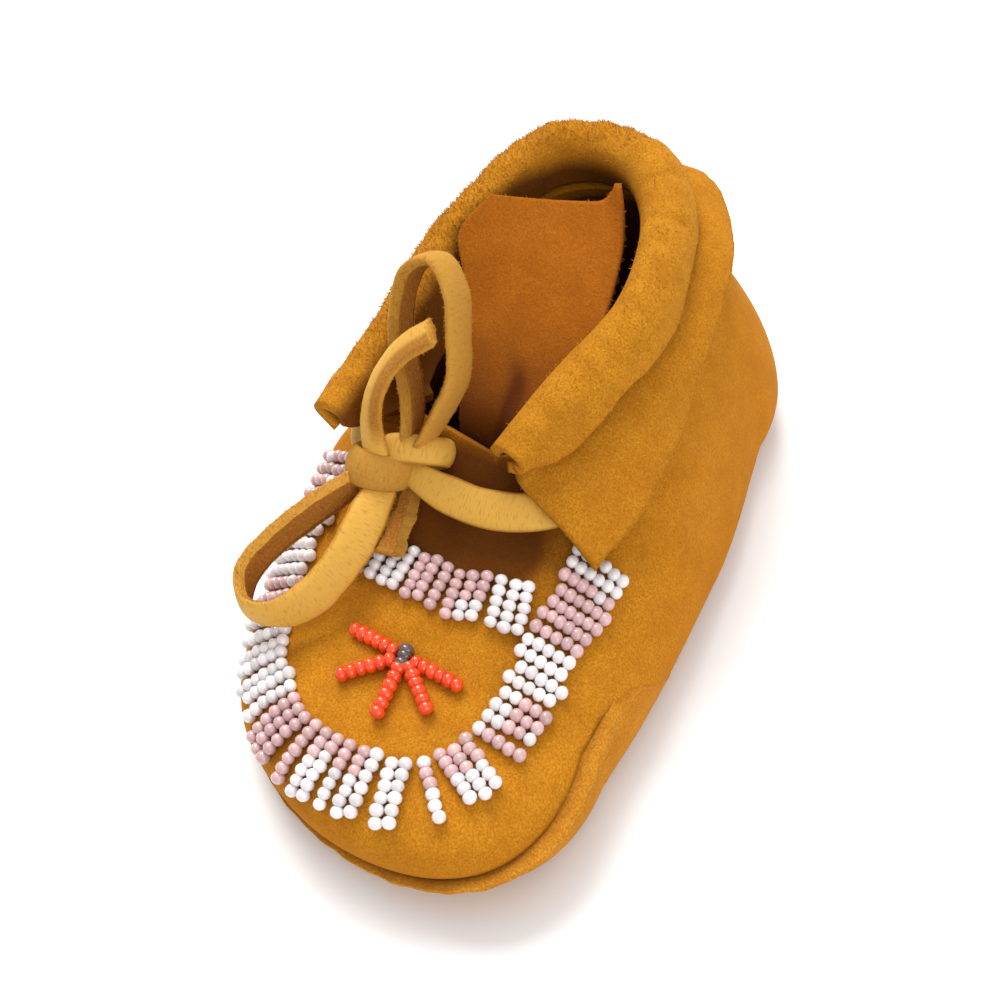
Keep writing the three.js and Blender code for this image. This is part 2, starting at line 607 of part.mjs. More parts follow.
/** The flap: a second layer that hangs from under the roll down to its raw hem. */
function makeFlap() {
  const hem = curvePoints(CUFF_ROWS, ['hemX', 'hemY', 'hemZ'], CUFF_STEPS);
  const grid = cuffSections().map(({ at, drop }, i) => {
    const under = at(0.7, -drop - 1);
    const swell = at(1, 0).sub(at(0, 0)).setLength(FLAP_SWELL);
    return [
      at(0.5, -2.9),
      at(0.62, -3.8),
      under,
      under.clone().lerp(hem[i], 0.5).add(swell),
      hem[i],
    ];
  });
  return sheet(grid, FLAP_THICK);
}

/** The tongue: a sheet from the throat, leaning back into the opening. */
function makeTongue() {
  const steps = 15;
  const outer = curvePoints(TONGUE_ROWS, ['outX', 'outY', 'outZ'], steps);
  const inner = curvePoints(TONGUE_ROWS, ['inX', 'inY', 'inZ'], steps);
  const hollow = column(TONGUE_ROWS.map((row, i) => ({ at: i / 5, hollow: row.hollow })), 'hollow');
  const grid = outer.map((p, i) => [0, 0.25, 0.5, 0.75, 1].map((share) => {
    const sag = hollow(i / steps) * 4 * share * (1 - share);
    return p.clone().lerp(inner[i], share).add(new THREE.Vector3(0, 0.5 * sag, -sag));
  }));
  return sheet(grid, FLAP_THICK);
}

/** The thong round the ankle, under the flap, with its runs to the knot. */
function makeThongAnkle() {
  const ring = [];
  const offset = THONG_THICK / 2 + GAP + 0.25;
  const height = column(THONG_ROWS, 'height');
  for (let turn = THONG_ROWS[0].at; turn <= THONG_ROWS[THONG_ROWS.length - 1].at; turn += 10) {
    const middle = onAnkle(turn, height(turn), offset);
    const upper = onAnkle(turn, height(turn) + 2.4, offset);
    const across = upper.sub(middle).normalize();
    ring.push({ x: middle.x, y: middle.y, z: middle.z, ax: across.x, ay: across.y, az: across.z });
  }
  return thong([...RUN_INNER, ...ring, ...RUN_OUTER], THONG_WIDTH, 76);
}

/** The knot of the bow, a rounded lump. */
function makeKnot() {
  const geometry = new THREE.SphereGeometry(0.5, 12, 8);
  geometry.scale(KNOT.width, KNOT.depth, KNOT.height);
  geometry.translate(KNOT.x, KNOT.y, KNOT.z);
  geometry.deleteAttribute('normal');
  geometry.deleteAttribute('uv');
  return mergeVertices(geometry, 1e-4);
}

/** Plan outline of a band along a curve through rows, with the width of each row. */
function bandOutline(rows, steps) {
  const knots = rows.map((row) => new THREE.Vector2(row.x, row.y));
  const width = column(rows.map((row, i) => ({ at: i / (rows.length - 1), width: row.width })), 'width');
  const curve = new THREE.SplineCurve(knots);
  const left = [];
  const right = [];
  for (let i = 0; i <= steps; i += 1) {
    const p = curve.getPoint(i / steps);
    const t = curve.getTangent(i / steps);
    const side = new THREE.Vector2(-t.y, t.x).multiplyScalar(width(i / steps) / 2);
    left.push(p.clone().add(side));
    right.push(p.clone().sub(side));
  }
  return [...left, ...right.reverse()];
}

const BEAD_LAYER = solidOf(lastBody(GAP + BEAD_HEIGHT)).subtract(solidOf(lastBody(GAP)));

/** Beadwork over a plan outline, as a layer on the vamp. */
function beadwork(outline) {
  return BEAD_LAYER.intersect(solidOf(planPrism(outline, 11, 60)));
}

/** Plan outline of one petal, a lane of beads with round ends. */
function petalOutline(turn) {
  const direction = new THREE.Vector2(Math.cos(turn), Math.sin(turn));
  const side = new THREE.Vector2(-direction.y, direction.x);
  const outline = [];
  for (let k = 0; k <= 6; k += 1) {
    const angle = -Math.PI / 2 + (Math.PI * k) / 6;
    const reach = FLOWER.petal - FLOWER.width / 2 + (FLOWER.width / 2) * Math.cos(angle);
    const over = (FLOWER.width / 2) * Math.sin(angle);
    const p = new THREE.Vector2(FLOWER.x, FLOWER.y);
    outline.push(p.addScaledVector(direction, reach).addScaledVector(side, over));
  }
  for (const over of [FLOWER.width / 2, -FLOWER.width / 2]) {
    outline.push(new THREE.Vector2(FLOWER.x, FLOWER.y).addScaledVector(side, over));
  }
  return outline;
}

/** The flower: five petals fanned out from a round centre. */
function makeFlower() {
  const rim = [];
  for (let k = 0; k < 10; k += 1) {
    const angle = (2 * Math.PI * k) / 10;
    const x = FLOWER.x + FLOWER.centre * Math.cos(angle);
    const y = FLOWER.y + FLOWER.centre * Math.sin(angle);
    rim.push(new THREE.Vector2(x, y));
  }
  let flower = beadwork(rim);
  for (const turn of PETAL_TURNS) {
    flower = flower.add(beadwork(petalOutline(THREE.MathUtils.degToRad(turn))));
  }
  return geometryOf(flower);
}

const moccasin = new THREE.Group();
moccasin.name = 'beaded_moccasin';

/** Adds a named piece to the shoe. */
function addPiece(name, geometry, look) {
  geometry.computeVertexNormals();
  const mesh = new THREE.Mesh(geometry, new THREE.MeshStandardMaterial(look));
  mesh.name = name;
  mesh.position.x = PLAN_SHIFT;
  moccasin.add(mesh);
}

addPiece('sole', makeSole(), SUEDE_DARK);
addPiece('upper', makeUpper(), SUEDE);
addPiece('tongue', makeTongue(), SUEDE);
addPiece('cuff', makeCuff(), SUEDE);
addPiece('ankle_flap', makeFlap(), SUEDE);
addPiece('thong_ankle', makeThongAnkle(), THONG_HIDE);
addPiece('thong_knot', makeKnot(), THONG_HIDE);
addPiece('thong_loop_upper', thong(LOOP_UPPER, THONG_WIDTH, 24), THONG_HIDE);
addPiece('thong_loop_lower', thong(LOOP_LOWER, THONG_WIDTH, 24), THONG_HIDE);
addPiece('thong_end_upper', thong(END_UPPER, END_WIDTH, 12), THONG_HIDE);
addPiece('thong_end_lower', thong(END_LOWER, END_WIDTH, 8), THONG_HIDE);
addPiece('bead_border', geometryOf(beadwork(bandOutline(BORDER_ROWS, 40))), BEAD_PALE);
addPiece('bead_crossband', geometryOf(beadwork(bandOutline(CROSSBAND_ROWS, 12))), BEAD_PALE);
addPiece('bead_flower', makeFlower(), BEAD_RED);

export default moccasin;
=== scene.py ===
"""Beaded infant moccasin of soft smoked hide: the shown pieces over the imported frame.

Sizes are in millimetres as on the maker's table and turn into metres when a mesh is made.
The toe points along -Y, the wearer's inner side is +X and the floor is z = 0.
"""

from __future__ import annotations

import logging
import math
from collections.abc import Callable, Sequence
from dataclasses import dataclass, field
from enum import Enum

import bpy
import numpy as np
from mathutils import Euler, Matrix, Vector

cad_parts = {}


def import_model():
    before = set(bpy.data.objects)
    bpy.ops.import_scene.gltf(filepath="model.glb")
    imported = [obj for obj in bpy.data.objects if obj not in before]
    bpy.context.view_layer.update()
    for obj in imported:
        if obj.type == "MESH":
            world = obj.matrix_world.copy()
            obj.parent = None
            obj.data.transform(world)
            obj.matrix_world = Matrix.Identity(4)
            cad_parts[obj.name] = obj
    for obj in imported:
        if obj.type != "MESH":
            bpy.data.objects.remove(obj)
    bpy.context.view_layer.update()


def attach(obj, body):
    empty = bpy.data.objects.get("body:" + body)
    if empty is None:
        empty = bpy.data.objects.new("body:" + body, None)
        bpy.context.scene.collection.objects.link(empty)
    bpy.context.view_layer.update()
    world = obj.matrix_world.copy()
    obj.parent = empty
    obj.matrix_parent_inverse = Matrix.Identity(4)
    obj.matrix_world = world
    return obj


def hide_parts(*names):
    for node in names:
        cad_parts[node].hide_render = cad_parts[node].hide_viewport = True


LOG = logging.getLogger("moccasin")
ROOT = "root"
MM = 0.001
# The plan's middle lies this far to the inner side of the last's middle line.
PLAN_SHIFT = np.array((0.74, 0.0, 0.0))
# Steps round each half of the heel, along each side and round the toe.
AROUND = (30, 70, 96)
# Below this the seam's lip lies flush.
FLUSH_LIP = 0.55
# Points of a surface that lie closer than this are one.
WELD = 1e-4
# Places of a mix node's inputs and results, whose names repeat.
FACTOR, NUMBER_A, NUMBER_B, COLOUR_A, COLOUR_B = 0, 2, 3, 6, 7
MIXED_NUMBER, MIXED_COLOUR = 0, 2

Table = tuple[tuple[float, ...], ...]
Point = tuple[float, float, float]
Curve = Callable[[np.ndarray], np.ndarray]
Wave = tuple[float, float, float]
Material = bpy.types.Material
Piece = bpy.types.Object
Socket = bpy.types.NodeSocket
Tree = bpy.types.NodeTree


def linear(colour: str) -> tuple[float, float, float, float]:
    """Turn an sRGB hex colour into linear RGBA.

    Args:
        colour: Six hex digits after a hash.

    Returns:
        Linear red, green and blue with an alpha of one.
    """
    parts = [int(colour[i : i + 2], 16) / 255 for i in (1, 3, 5)]
    red, green, blue = (c / 12.92 if c <= 0.04045 else ((c + 0.055) / 1.055) ** 2.4 for c in parts)
    return red, green, blue, 1.0


def plug(tree: Tree, node: bpy.types.Node, inputs: dict) -> None:
    """Set or link the inputs of a node.

    Args:
        tree: Tree of the node.
        node: The node.
        inputs: Value or output socket for each input, by name or place.
    """
    for key, value in inputs.items():
        if isinstance(value, Socket):
            tree.links.new(value, node.inputs[key])
        else:
            node.inputs[key].default_value = value


def add_node(tree: Tree, kind: str, inputs: dict | None = None, **settings: object) -> bpy.types.Node:
    """Add a node, set it up and link it.

    Args:
        tree: Tree that gets the node.
        kind: Blender's type name of the node.
        inputs: Value or output socket for each input, by name or place.
        settings: Properties of the node.

    Returns:
        The new node.
    """
    node = tree.nodes.new(kind)
    for name, value in settings.items():
        setattr(node, name, value)
    plug(tree, node, inputs or {})
    return node


def new_material(name: str) -> tuple[Material, Tree, bpy.types.Node]:
    """Start a material.

    Args:
        name: Name of the real material.

    Returns:
        The material, its tree and its shader.
    """
    material = bpy.data.materials.new(name)
    material.use_nodes = True
    return material, material.node_tree, material.node_tree.nodes["Principled BSDF"]


def set_stops(ramp: bpy.types.ColorRamp, *stops: tuple[float, str]) -> None:
    """Set the stops of a colour ramp.

    Args:
        ramp: The ramp, with its two first stops.
        stops: Place and colour of each stop, rising.
    """
    for _ in stops[2:]:
        ramp.elements.new(1.0)
    for element, (place, colour) in zip(ramp.elements, stops):
        element.position, element.color = place, linear(colour)


def ease(values: np.ndarray | float, start: np.ndarray | float, span: np.ndarray | float) -> np.ndarray:
    """Rise from 0 at a start to 1 over a span, which may be negative."""
    return np.clip((values - start) / span, 0, 1)


def bell(values: np.ndarray, middle: np.ndarray | float, width: float) -> np.ndarray:
    """Rise to 1 at a middle and fall off smoothly on both sides."""
    return np.exp(-(((values - middle) / width) ** 2))


def ripple(share: np.ndarray, *waves: Wave) -> np.ndarray:
    """Add up slow waves of given height, number and start, so that an edge isn't dead even."""
    return sum(height * np.sin(2 * np.pi * (count * share + start)) for height, count, start in waves)


def through(table: Table | np.ndarray, column: int) -> Curve:
    """Make a smooth curve through a column of a table, with no overshoot between its rows.

    Args:
        table: Rows that begin with their places, rising.
        column: Number of the column.

    Returns:
        Function from places to values, held at both ends.
    """
    x, y = np.array([(row[0], row[column]) for row in table], float).T
    slope = np.diff(y) / np.diff(x)
    tangent = np.concatenate([slope[:1], np.zeros(len(x) - 2), slope[-1:]])
    for i in range(1, len(x) - 1):
        if slope[i - 1] * slope[i] > 0:
            tangent[i] = 2 * slope[i - 1] * slope[i] / (slope[i - 1] + slope[i])

    def curve(place: np.ndarray) -> np.ndarray:
        """Give the column's value at each place.

        Args:
            place: The places.

        Returns:
            One value for each.
        """
        p = np.clip(np.asarray(place, float), x[0], x[-1])
        i = np.clip(np.searchsorted(x, p) - 1, 0, len(x) - 2)
        span = x[i + 1] - x[i]
        t = (p - x[i]) / span
        level = y[i] + (y[i + 1] - y[i]) * t * t * (3 - 2 * t)
        return level + (1 - t) ** 2 * t * span * tangent[i] + t * t * (t - 1) * span * tangent[i + 1]

    return curve


def spline(knots: np.ndarray | Table, steps: int) -> np.ndarray:
    """Run a centripetal curve through knots.

    Args:
        knots: Points along the first axis, coordinates along the last.
        steps: Number of equal steps over all the spans.

    Returns:
        Points of the curve, one more than the steps.
    """
    p = np.asarray(knots, float)
    q = np.concatenate([(2 * p[0] - p[1])[None], p, (2 * p[-1] - p[-2])[None]])
    place = np.linspace(0, len(p) - 1, steps + 1)
    i = np.minimum(place.astype(int), len(p) - 2)
    w = (place - i).reshape((-1,) + (1,) * (p.ndim - 1))
    a, b, c, d = q[i], q[i + 1], q[i + 2], q[i + 3]
    before, span, after = (
        np.sqrt(np.maximum(np.linalg.norm(v - u, axis=-1, keepdims=True), 1e-4)) for u, v in ((a, b), (b, c), (c, d))
    )
    leave = span * ((b - a) / before - (c - a) / (before + span) + (c - b) / span)
    arrive = span * ((c - b) / span - (d - b) / (span + after) + (d - c) / after)
    return b + leave * w + (3 * (c - b) - 2 * leave - arrive) * w**2 + (2 * (b - c) + leave + arrive) * w**3


def unit(vectors: np.ndarray) -> np.ndarray:
    """Scale vectors to length one."""
    return vectors / np.maximum(np.linalg.norm(vectors, axis=-1, keepdims=True), 1e-9)


def walk(points: np.ndarray) -> np.ndarray:
    """Give the distance walked along a line up to each of its points."""
    return np.concatenate([[0], np.cumsum(np.linalg.norm(np.diff(points, axis=0), axis=1))])


@dataclass
class Surface:
    """Points and faces of a form in the making, with a number for each point under each mark's name."""

    points: np.ndarray
    faces: list[tuple[int, ...]]
    marks: dict[str, np.ndarray] = field(default_factory=dict)

    @classmethod
    def from_grid(cls, grid: np.ndarray, wrap: bool = False, **marks: np.ndarray) -> Surface:
        """Make a surface of a grid of points.

        Args:
            grid: Points by row and column.
            wrap: Whether the last row joins the first one.
            marks: Number for each point of the grid, or for each row or column.

        Returns:
            The surface, with faces turned towards rows crossed with columns.
        """
        rows, across = grid.shape[:2]
        faces = []
        for i in range(rows if wrap else rows - 1):
            for j in range(across - 1):
                a, b = i * across + j, ((i + 1) % rows) * across + j
                faces.append((a, b, b + 1, a + 1))
        spread = {name: np.broadcast_to(value, (rows, across)).flatten() for name, value in marks.items()}
        return cls(grid.reshape(-1, 3).copy(), faces, spread)

    def weld(self) -> Surface:
        """Join points that lie on each other.

        Returns:
            The welded surface, without empty faces.
        """
        keys = np.round(self.points / WELD) + 0.0
        _, first, place = np.unique(keys, axis=0, return_index=True, return_inverse=True)
        place = place.reshape(-1)
        faces = []
        for face in self.faces:
            kept = list(dict.fromkeys(int(place[i]) for i in face))
            if len(kept) > 2:
                faces.append(tuple(kept))
        return Surface(self.points[first], faces, {name: value[first] for name, value in self.marks.items()})

    def normals(self) -> np.ndarray:
        """Find the mean normal at each point.

        Returns:
            Unit vectors, weighted by the faces' areas.
        """
        total = np.zeros_like(self.points)
        for size in (3, 4):
            index = np.array([f for f in self.faces if len(f) == size], int)
            if len(index):
                a = self.points[index[:, 2]] - self.points[index[:, 0]]
                b = self.points[index[:, -1]] - self.points[index[:, 1]]
                normal = np.cross(a, b) if size == 4 else np.cross(b, -a)
                for k in range(size):
                    np.add.at(total, index[:, k], normal)
        return unit(total)

    def facing(self, towards: np.ndarray) -> Surface:
        """Turn the faces so that the normals lie along directions.

        Args:
            towards: Direction at each point, or one for all; zero where a point doesn't count.

        Returns:
            The same surface.
        """
        if np.sum(self.normals() * towards) < 0:
            self.faces = [tuple(reversed(f)) for f in self.faces]
        return self

    def thicken(self, thick: float, out: float = 0.5) -> Surface:
        """Give the surface a wall, closed along its open edges.

        Args:
            thick: Thickness of the wall.
            out: Share of it on the normal's side.

        Returns:
            The closed form, with the mark "face" at 1 on the normal's side and 0 on the other.
        """
        normal, count = self.normals(), len(self.points)
        points = np.concatenate([self.points + out * thick * normal, self.points - (1 - out) * thick * normal])
        edges = {(f[k], f[(k + 1) % len(f)]) for f in self.faces for k in range(len(f))}
        faces = list(self.faces) + [tuple(i + count for i in reversed(f)) for f in self.faces]
        faces += [(b, a, a + count, b + count) for a, b in edges if (b, a) not in edges]
        marks = {name: np.concatenate([value, value]) for name, value in self.marks.items()}
        marks["face"] = np.concatenate([np.ones(count), np.zeros(count)])
        return Surface(points, faces, marks)

    def joined(self, other: Surface) -> Surface:
        """Put another surface beside this one.

        Args:
            other: Surface with the same marks.

        Returns:
            Both as one.
        """
        count = len(self.points)
        faces = self.faces + [tuple(i + count for i in f) for f in other.faces]
        marks = {name: np.concatenate([value, other.marks[name]]) for name, value in self.marks.items()}
        return Surface(np.concatenate([self.points, other.points]), faces, marks)

    def piece(self, name: str, material: Material | None = None) -> Piece:
        """Make a Blender object of the surface, in metres.

        Args:
            name: Name of the piece.
            material: Its finish.

        Returns:
            The object, at the origin.
        """
        mesh = bpy.data.meshes.new(name)
        mesh.from_pydata(((self.points + PLAN_SHIFT) * MM).tolist(), [], self.faces)
        for mark, value in self.marks.items():
            layer = mesh.attributes.new(mark, "FLOAT", "POINT")
            layer.data.foreach_set("value", np.asarray(value, np.float32))
        mesh.shade_smooth()
        if material:
            mesh.materials.append(material)
        made = bpy.data.objects.new(name, mesh)
        bpy.context.scene.collection.objects.link(made)
        return made


@dataclass(frozen=True)
class Fold:
    """A soft trough or ridge along a line, placed one by one: depth below zero sinks."""

    start: Point
    end: Point
    width: float
    depth: float

    def push(self, points: np.ndarray) -> np.ndarray:
        """Give how far each point is pushed out along its normal.

        Args:
            points: The points.

        Returns:
            One distance for each.
        """
        a, b = np.array(self.start), np.array(self.end)
        along = b - a
        share = np.clip((points - a) @ along / (along @ along), 0, 1)
        distance = np.linalg.norm(points - (a + share[:, None] * along), axis=1)
        fade = np.clip(1 - (2 * share - 1) ** 4, 0, 1)
        return self.depth * fade * bell(distance, 0, self.width)


class Slot(Enum):
    """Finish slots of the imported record."""

    SUEDE = "suede"
    SOLE = "suede_sole"
    THONG = "thong_hide"
    PALE = "beads_pale"
    RED = "beads_red"


def dress(made: Piece, slot: Slot, *nodes: str) -> None:
    """Let a piece ride on the shoe and stand it for its CAD nodes.

    Args:
        made: The piece.
        slot: Its finish slot; not used.
        nodes: CAD nodes that it stands for.
    """
    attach(made, ROOT)
    if nodes:
        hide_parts(*nodes)
    LOG.info("%s: %d faces", made.name, len(made.data.polygons))


@dataclass(frozen=True)
class Columns:
    """Upright lines round the last: start on the spine, direction in plan and radius."""

    spine: np.ndarray
    dx: np.ndarray
    dy: np.ndarray
    radius: np.ndarray


@dataclass(frozen=True)
class Last:
    """The form that the shoe is sewn to."""

    length: float = 118.0
    wall: float = 1.6
    toe_reach: float = 26.0
    heel_reach: float = 24.8
    toe_roundness: float = 2.1
    heel_roundness: float = 2.15
    widest: float = 7.0
    lower_round: float = 5.0
    # The toe curves inwards from here on forwards, by this much at its tip.
    curve_from: float = 10.0
    toe_curve: float = 8.0
    # The ankle leans outwards in front and more at the heel, by this much at the lean's height.
    ankle_lean: float = -3.0
    heel_lean: float = -8.0
    lean_height: float = 38.0
    toe_spring: float = 2.2
    waist_arch: float = 0.7
    # Start and span along the foot of the ankle's lean, the heel's lean, the toe spring and the waist.
    ankle_over: tuple[float, float] = (-10, 20)
    heel_over: tuple[float, float] = (10, 30)
    spring_over: tuple[float, float] = (-42, -17)
    waist_over: tuple[float, float] = (-14, 36)
    ankle_x: float = -3.0
    ankle_y: float = 20.0
    # Section, inner and outer half-width, crest, squareness of the inner and the outer arch.
    rows: Table = (
        (-33, 28.8, 32.0, 17.5, 2.2, 2.2),
        (-20, 30.5, 33.8, 22.0, 2.1, 2.9),
        (-8, 31.0, 33.6, 28.0, 1.9, 3.1),
        (4, 30.4, 30.2, 40.0, 1.6, 1.9),
        (18, 28.4, 26.8, 51.0, 1.4, 1.4),
        (35, 24.4, 24.4, 53.5, 1.5, 1.5),
    )
    # Place along the foot and height of the ankle's edge.
    topline: Table = ((-20, 30.5), (-3, 32.0), (10, 34.5), (30, 39.0), (70, 41.5))
    # Turn round the shoe, height of the sole's seam and how far its lip stands out.
    seam: Table = (
        (0, 8.0, 0.5), (34, 2.6, 0.0), (106, 2.6, 0.0), (125, 13.4, 0.5), (134, 12.2, 1.1), (147, 9.8, 1.2),
        (156, 7.4, 1.1), (164, 5.0, 1.0), (172, 3.6, 1.0), (190, 2.9, 0.9), (230, 3.2, 0.85), (300, 5.2, 0.75),
        (360, 8.0, 0.5),
    )

    def column(self, number: int) -> Curve:
        """Give the smooth curve through one column of the sections."""
        return through(self.rows, number)

    def arch(self, spine: np.ndarray, dx: np.ndarray) -> np.ndarray:
        """Give how square the arch is, between its inner and its outer side."""
        return self.column(5)(spine) + (self.column(4)(spine) - self.column(5)(spine)) * (1 + dx) / 2

    def topline_height(self, y: np.ndarray) -> np.ndarray:
        """Give the height of the ankle's edge along the foot."""
        return through(self.topline, 1)(y)

    def seam_height(self, turn: np.ndarray) -> np.ndarray:
        """Give the height of the sole's seam by the turn."""
        return through(self.seam, 1)(turn)

    def seam_lip(self, turn: np.ndarray) -> np.ndarray:
        """Give how far the sole's lip stands out by the turn."""
        return through(self.seam, 2)(turn)

    def middle(self, y: np.ndarray) -> np.ndarray:
        """Give the sideways curve of the foot's middle line."""
        return self.toe_curve * ease(y, self.curve_from, -(self.curve_from + self.length / 2)) ** 2

    def lean(self, y: np.ndarray, z: np.ndarray) -> np.ndarray:
        """Give the sideways lean of the ankle.

        Args:
            y: Places along.
            z: Heights.

        Returns:
            Shifts across, growing with the height.
        """
        front = self.ankle_lean * ease(y, *self.ankle_over)
        high = (np.maximum(0, z - self.widest) / self.lean_height) ** 1.7
        return (front + (self.heel_lean - front) * ease(y, *self.heel_over)) * high

    def lift(self, y: np.ndarray) -> np.ndarray:
        """Give how far the sole is off the floor."""
        spring = self.toe_spring * ease(y, *self.spring_over) ** 2
        return spring + self.waist_arch * np.sin(np.pi * ease(y, *self.waist_over)) ** 2

    def end_radius(self, angle: np.ndarray, side: np.ndarray, reach: float, roundness: float) -> np.ndarray:
        """Give the radius of a rounded end at an angle from its side."""
        across, along = np.abs(np.cos(angle) / side), np.abs(np.sin(angle) / reach)
        return (across**roundness + along**roundness) ** (-1 / roundness)

    def columns(self, heel: int, side: int, toe: int) -> Columns:
        """Set out upright lines round the last.

        Args:
            heel: Steps round each half of the heel.
            side: Steps along each side.
            toe: Steps round the toe.

        Returns:
            The columns from the heel's middle over the inner side and the toe.
        """
        inner, outer = self.column(1), self.column(2)
        front, back = self.rows[0][0], self.rows[-1][0]
        along = back + (front - back) * np.arange(side) / side
        quarter = np.pi / 2 * (1 - np.arange(heel) / heel)
        fan = -np.pi * np.arange(toe + 1) / toe
        breadth = np.where(np.arange(toe + 1) * 2 < toe, inner(front), outer(front))
        close = np.pi - np.pi / 2 * np.arange(1, heel) / heel
        spine = [np.full(heel, back), along, np.full(toe + 1, front), along[::-1], np.full(heel - 1, back)]
        radius = [
            self.end_radius(quarter, inner(back), self.heel_reach, self.heel_roundness),
            inner(along),
            self.end_radius(fan, breadth, self.toe_reach, self.toe_roundness),
            outer(along[::-1]),
            self.end_radius(close, outer(back), self.heel_reach, self.heel_roundness),
        ]
        turn = np.concatenate([quarter, np.zeros(side), fan, np.full(side, np.pi), close])
        return Columns(np.concatenate(spine), np.cos(turn), np.sin(turn), np.concatenate(radius))

    def place(self, cols: Columns, radius: np.ndarray, z: np.ndarray) -> np.ndarray:
        """Give points at distances from the spine and heights above the sole's plane.

        Args:
            cols: The columns, along the first axis.
            radius: Distance from the spine, by column and level.
            z: Height, by column and level.

        Returns:
            Points by column and level.
        """
        y = cols.spine[:, None] + cols.dy[:, None] * radius
        x = cols.dx[:, None] * radius + self.middle(y) + self.lean(y, z)
        return np.stack([x, y, z + self.lift(y)], axis=-1)

    def turn(self, cols: Columns) -> np.ndarray:
        """Give each column's turn round the shoe: heel 0, inner side 90, toe 180."""
        p = self.place(cols, cols.radius[:, None], np.full((len(cols.spine), 1), self.widest))[:, 0]
        return np.degrees(np.arctan2(p[:, 0], p[:, 1])) % 360

    def wall_line(self, cols: Columns, low: int, high: int) -> tuple[np.ndarray, np.ndarray]:
        """Run each column's line from the sole's plane up the wall to the crest.

        Args:
            cols: The columns.
            low: Steps below the widest height.
            high: Steps above it.

        Returns:
            Distances from the spine and heights, by column and step.
        """
        below, above = np.pi / 2 * np.arange(low) / low, np.pi / 2 * np.arange(high + 1) / high
        power = 2 / self.arch(cols.spine, cols.dx)[:, None]
        crest = self.column(3)(cols.spine)[:, None]
        full = cols.radius[:, None]
        shrink = np.maximum(np.cos(above), 0.0)
        shrink[-1] = 0.0
        radius = np.concatenate([full - self.lower_round * (1 - np.sin(below)), full * shrink**power], axis=1)
        rise = self.widest + (crest - self.widest) * np.sin(above) ** power
        start = np.broadcast_to(self.widest * (1 - np.cos(below)), (len(full), low))
        z = np.concatenate([start, rise], axis=1)
        return radius, z

    def height(self, x: np.ndarray, y: np.ndarray) -> np.ndarray:
        """Find the height of the vamp over points in plan.

        Args:
            x: Places across.
            y: Places along.

        Returns:
            Heights, closed in on in three rounds because the vamp leans with its height.
        """
        front = self.rows[0][0]
        spine = np.maximum(y, front)
        z = np.full_like(x, 20.0)
        for _ in range(3):
            across = x - self.middle(y) - self.lean(y, z - self.lift(y))
            along = np.minimum(y - front, 0)
            side = np.where(across > 0, self.column(1)(spine), self.column(2)(spine))
            full = self.end_radius(np.arctan2(along, across), side, self.toe_reach, self.toe_roundness)
            reach = np.hypot(across, along)
            square = self.arch(spine, across / np.maximum(reach, 1e-6))
            rise = (1 - np.clip(reach / full, 0, 1) ** square) ** (1 / square)
            z = self.widest + (self.column(3)(spine) - self.widest) * rise + self.lift(y)
        return z

    def on_vamp(self, x: np.ndarray, y: np.ndarray) -> tuple[np.ndarray, np.ndarray]:
        """Give points of the vamp over points in plan, and the normals there.

        Args:
            x: Places across.
            y: Places along.

        Returns:
            Points and unit normals.
        """
        step = 0.4
        z = self.height(x, y)
        slope_x = (self.height(x + step, y) - self.height(x - step, y)) / (2 * step)
        slope_y = (self.height(x, y + step) - self.height(x, y - step)) / (2 * step)
        return np.stack([x, y, z], axis=-1), unit(np.stack([-slope_x, -slope_y, np.ones_like(z)], axis=-1))

    def on_ankle(self, turn: float, z: float, offset: float) -> np.ndarray:
        """Find the point off the ankle's wall on a ray from the ankle's centre.

        Args:
            turn: Turn in degrees from the front over the inner side.
            z: Height on the wall.
            offset: Distance out from the wall.

        Returns:
            The point.
        """
        cols = self.columns(10, 40, 10)
        crest, square = self.column(3)(cols.spine), self.arch(cols.spine, cols.dx)
        step = 0.5

        def radius_at(level: float) -> np.ndarray:
            """Give the wall's distance from the spine at a level."""
            return cols.radius * (1 - ease(level, self.widest, crest - self.widest) ** square) ** (1 / square)

        radius = radius_at(z)
        slope = (radius_at(z - step) - radius) / step
        ring = self.place(cols, (radius + offset * np.hypot(1, slope))[:, None], np.full((len(radius), 1), z))[:, 0]
        ring = ring[crest > z + step]
        ray = np.array([math.sin(math.radians(turn)), -math.cos(math.radians(turn))])
        start = ring[:, :2] - (self.ankle_x, self.ankle_y)
        edge = np.roll(ring, -1, axis=0) - ring
        facing = edge[:, 0] * ray[1] - edge[:, 1] * ray[0]
        share = -(start[:, 0] * ray[1] - start[:, 1] * ray[0]) / np.where(np.abs(facing) < 1e-9, 1e-9, facing)
        ahead = (start + share[:, None] * edge[:, :2]) @ ray
        found = np.flatnonzero((share >= 0) & (share <= 1) & (ahead > 0))[-1]
        return ring[found] + share[found] * edge[found]

    def edge_height(self, turn: float) -> float:
        """Find the height of the ankle's edge.

        Args:
            turn: Turn round the ankle.

        Returns:
            The height, closed in on in four rounds.
        """
        z = 34.0
        for _ in range(4):
            z = float(self.topline_height(self.on_ankle(turn, z, 0.0)[1]))
        return z


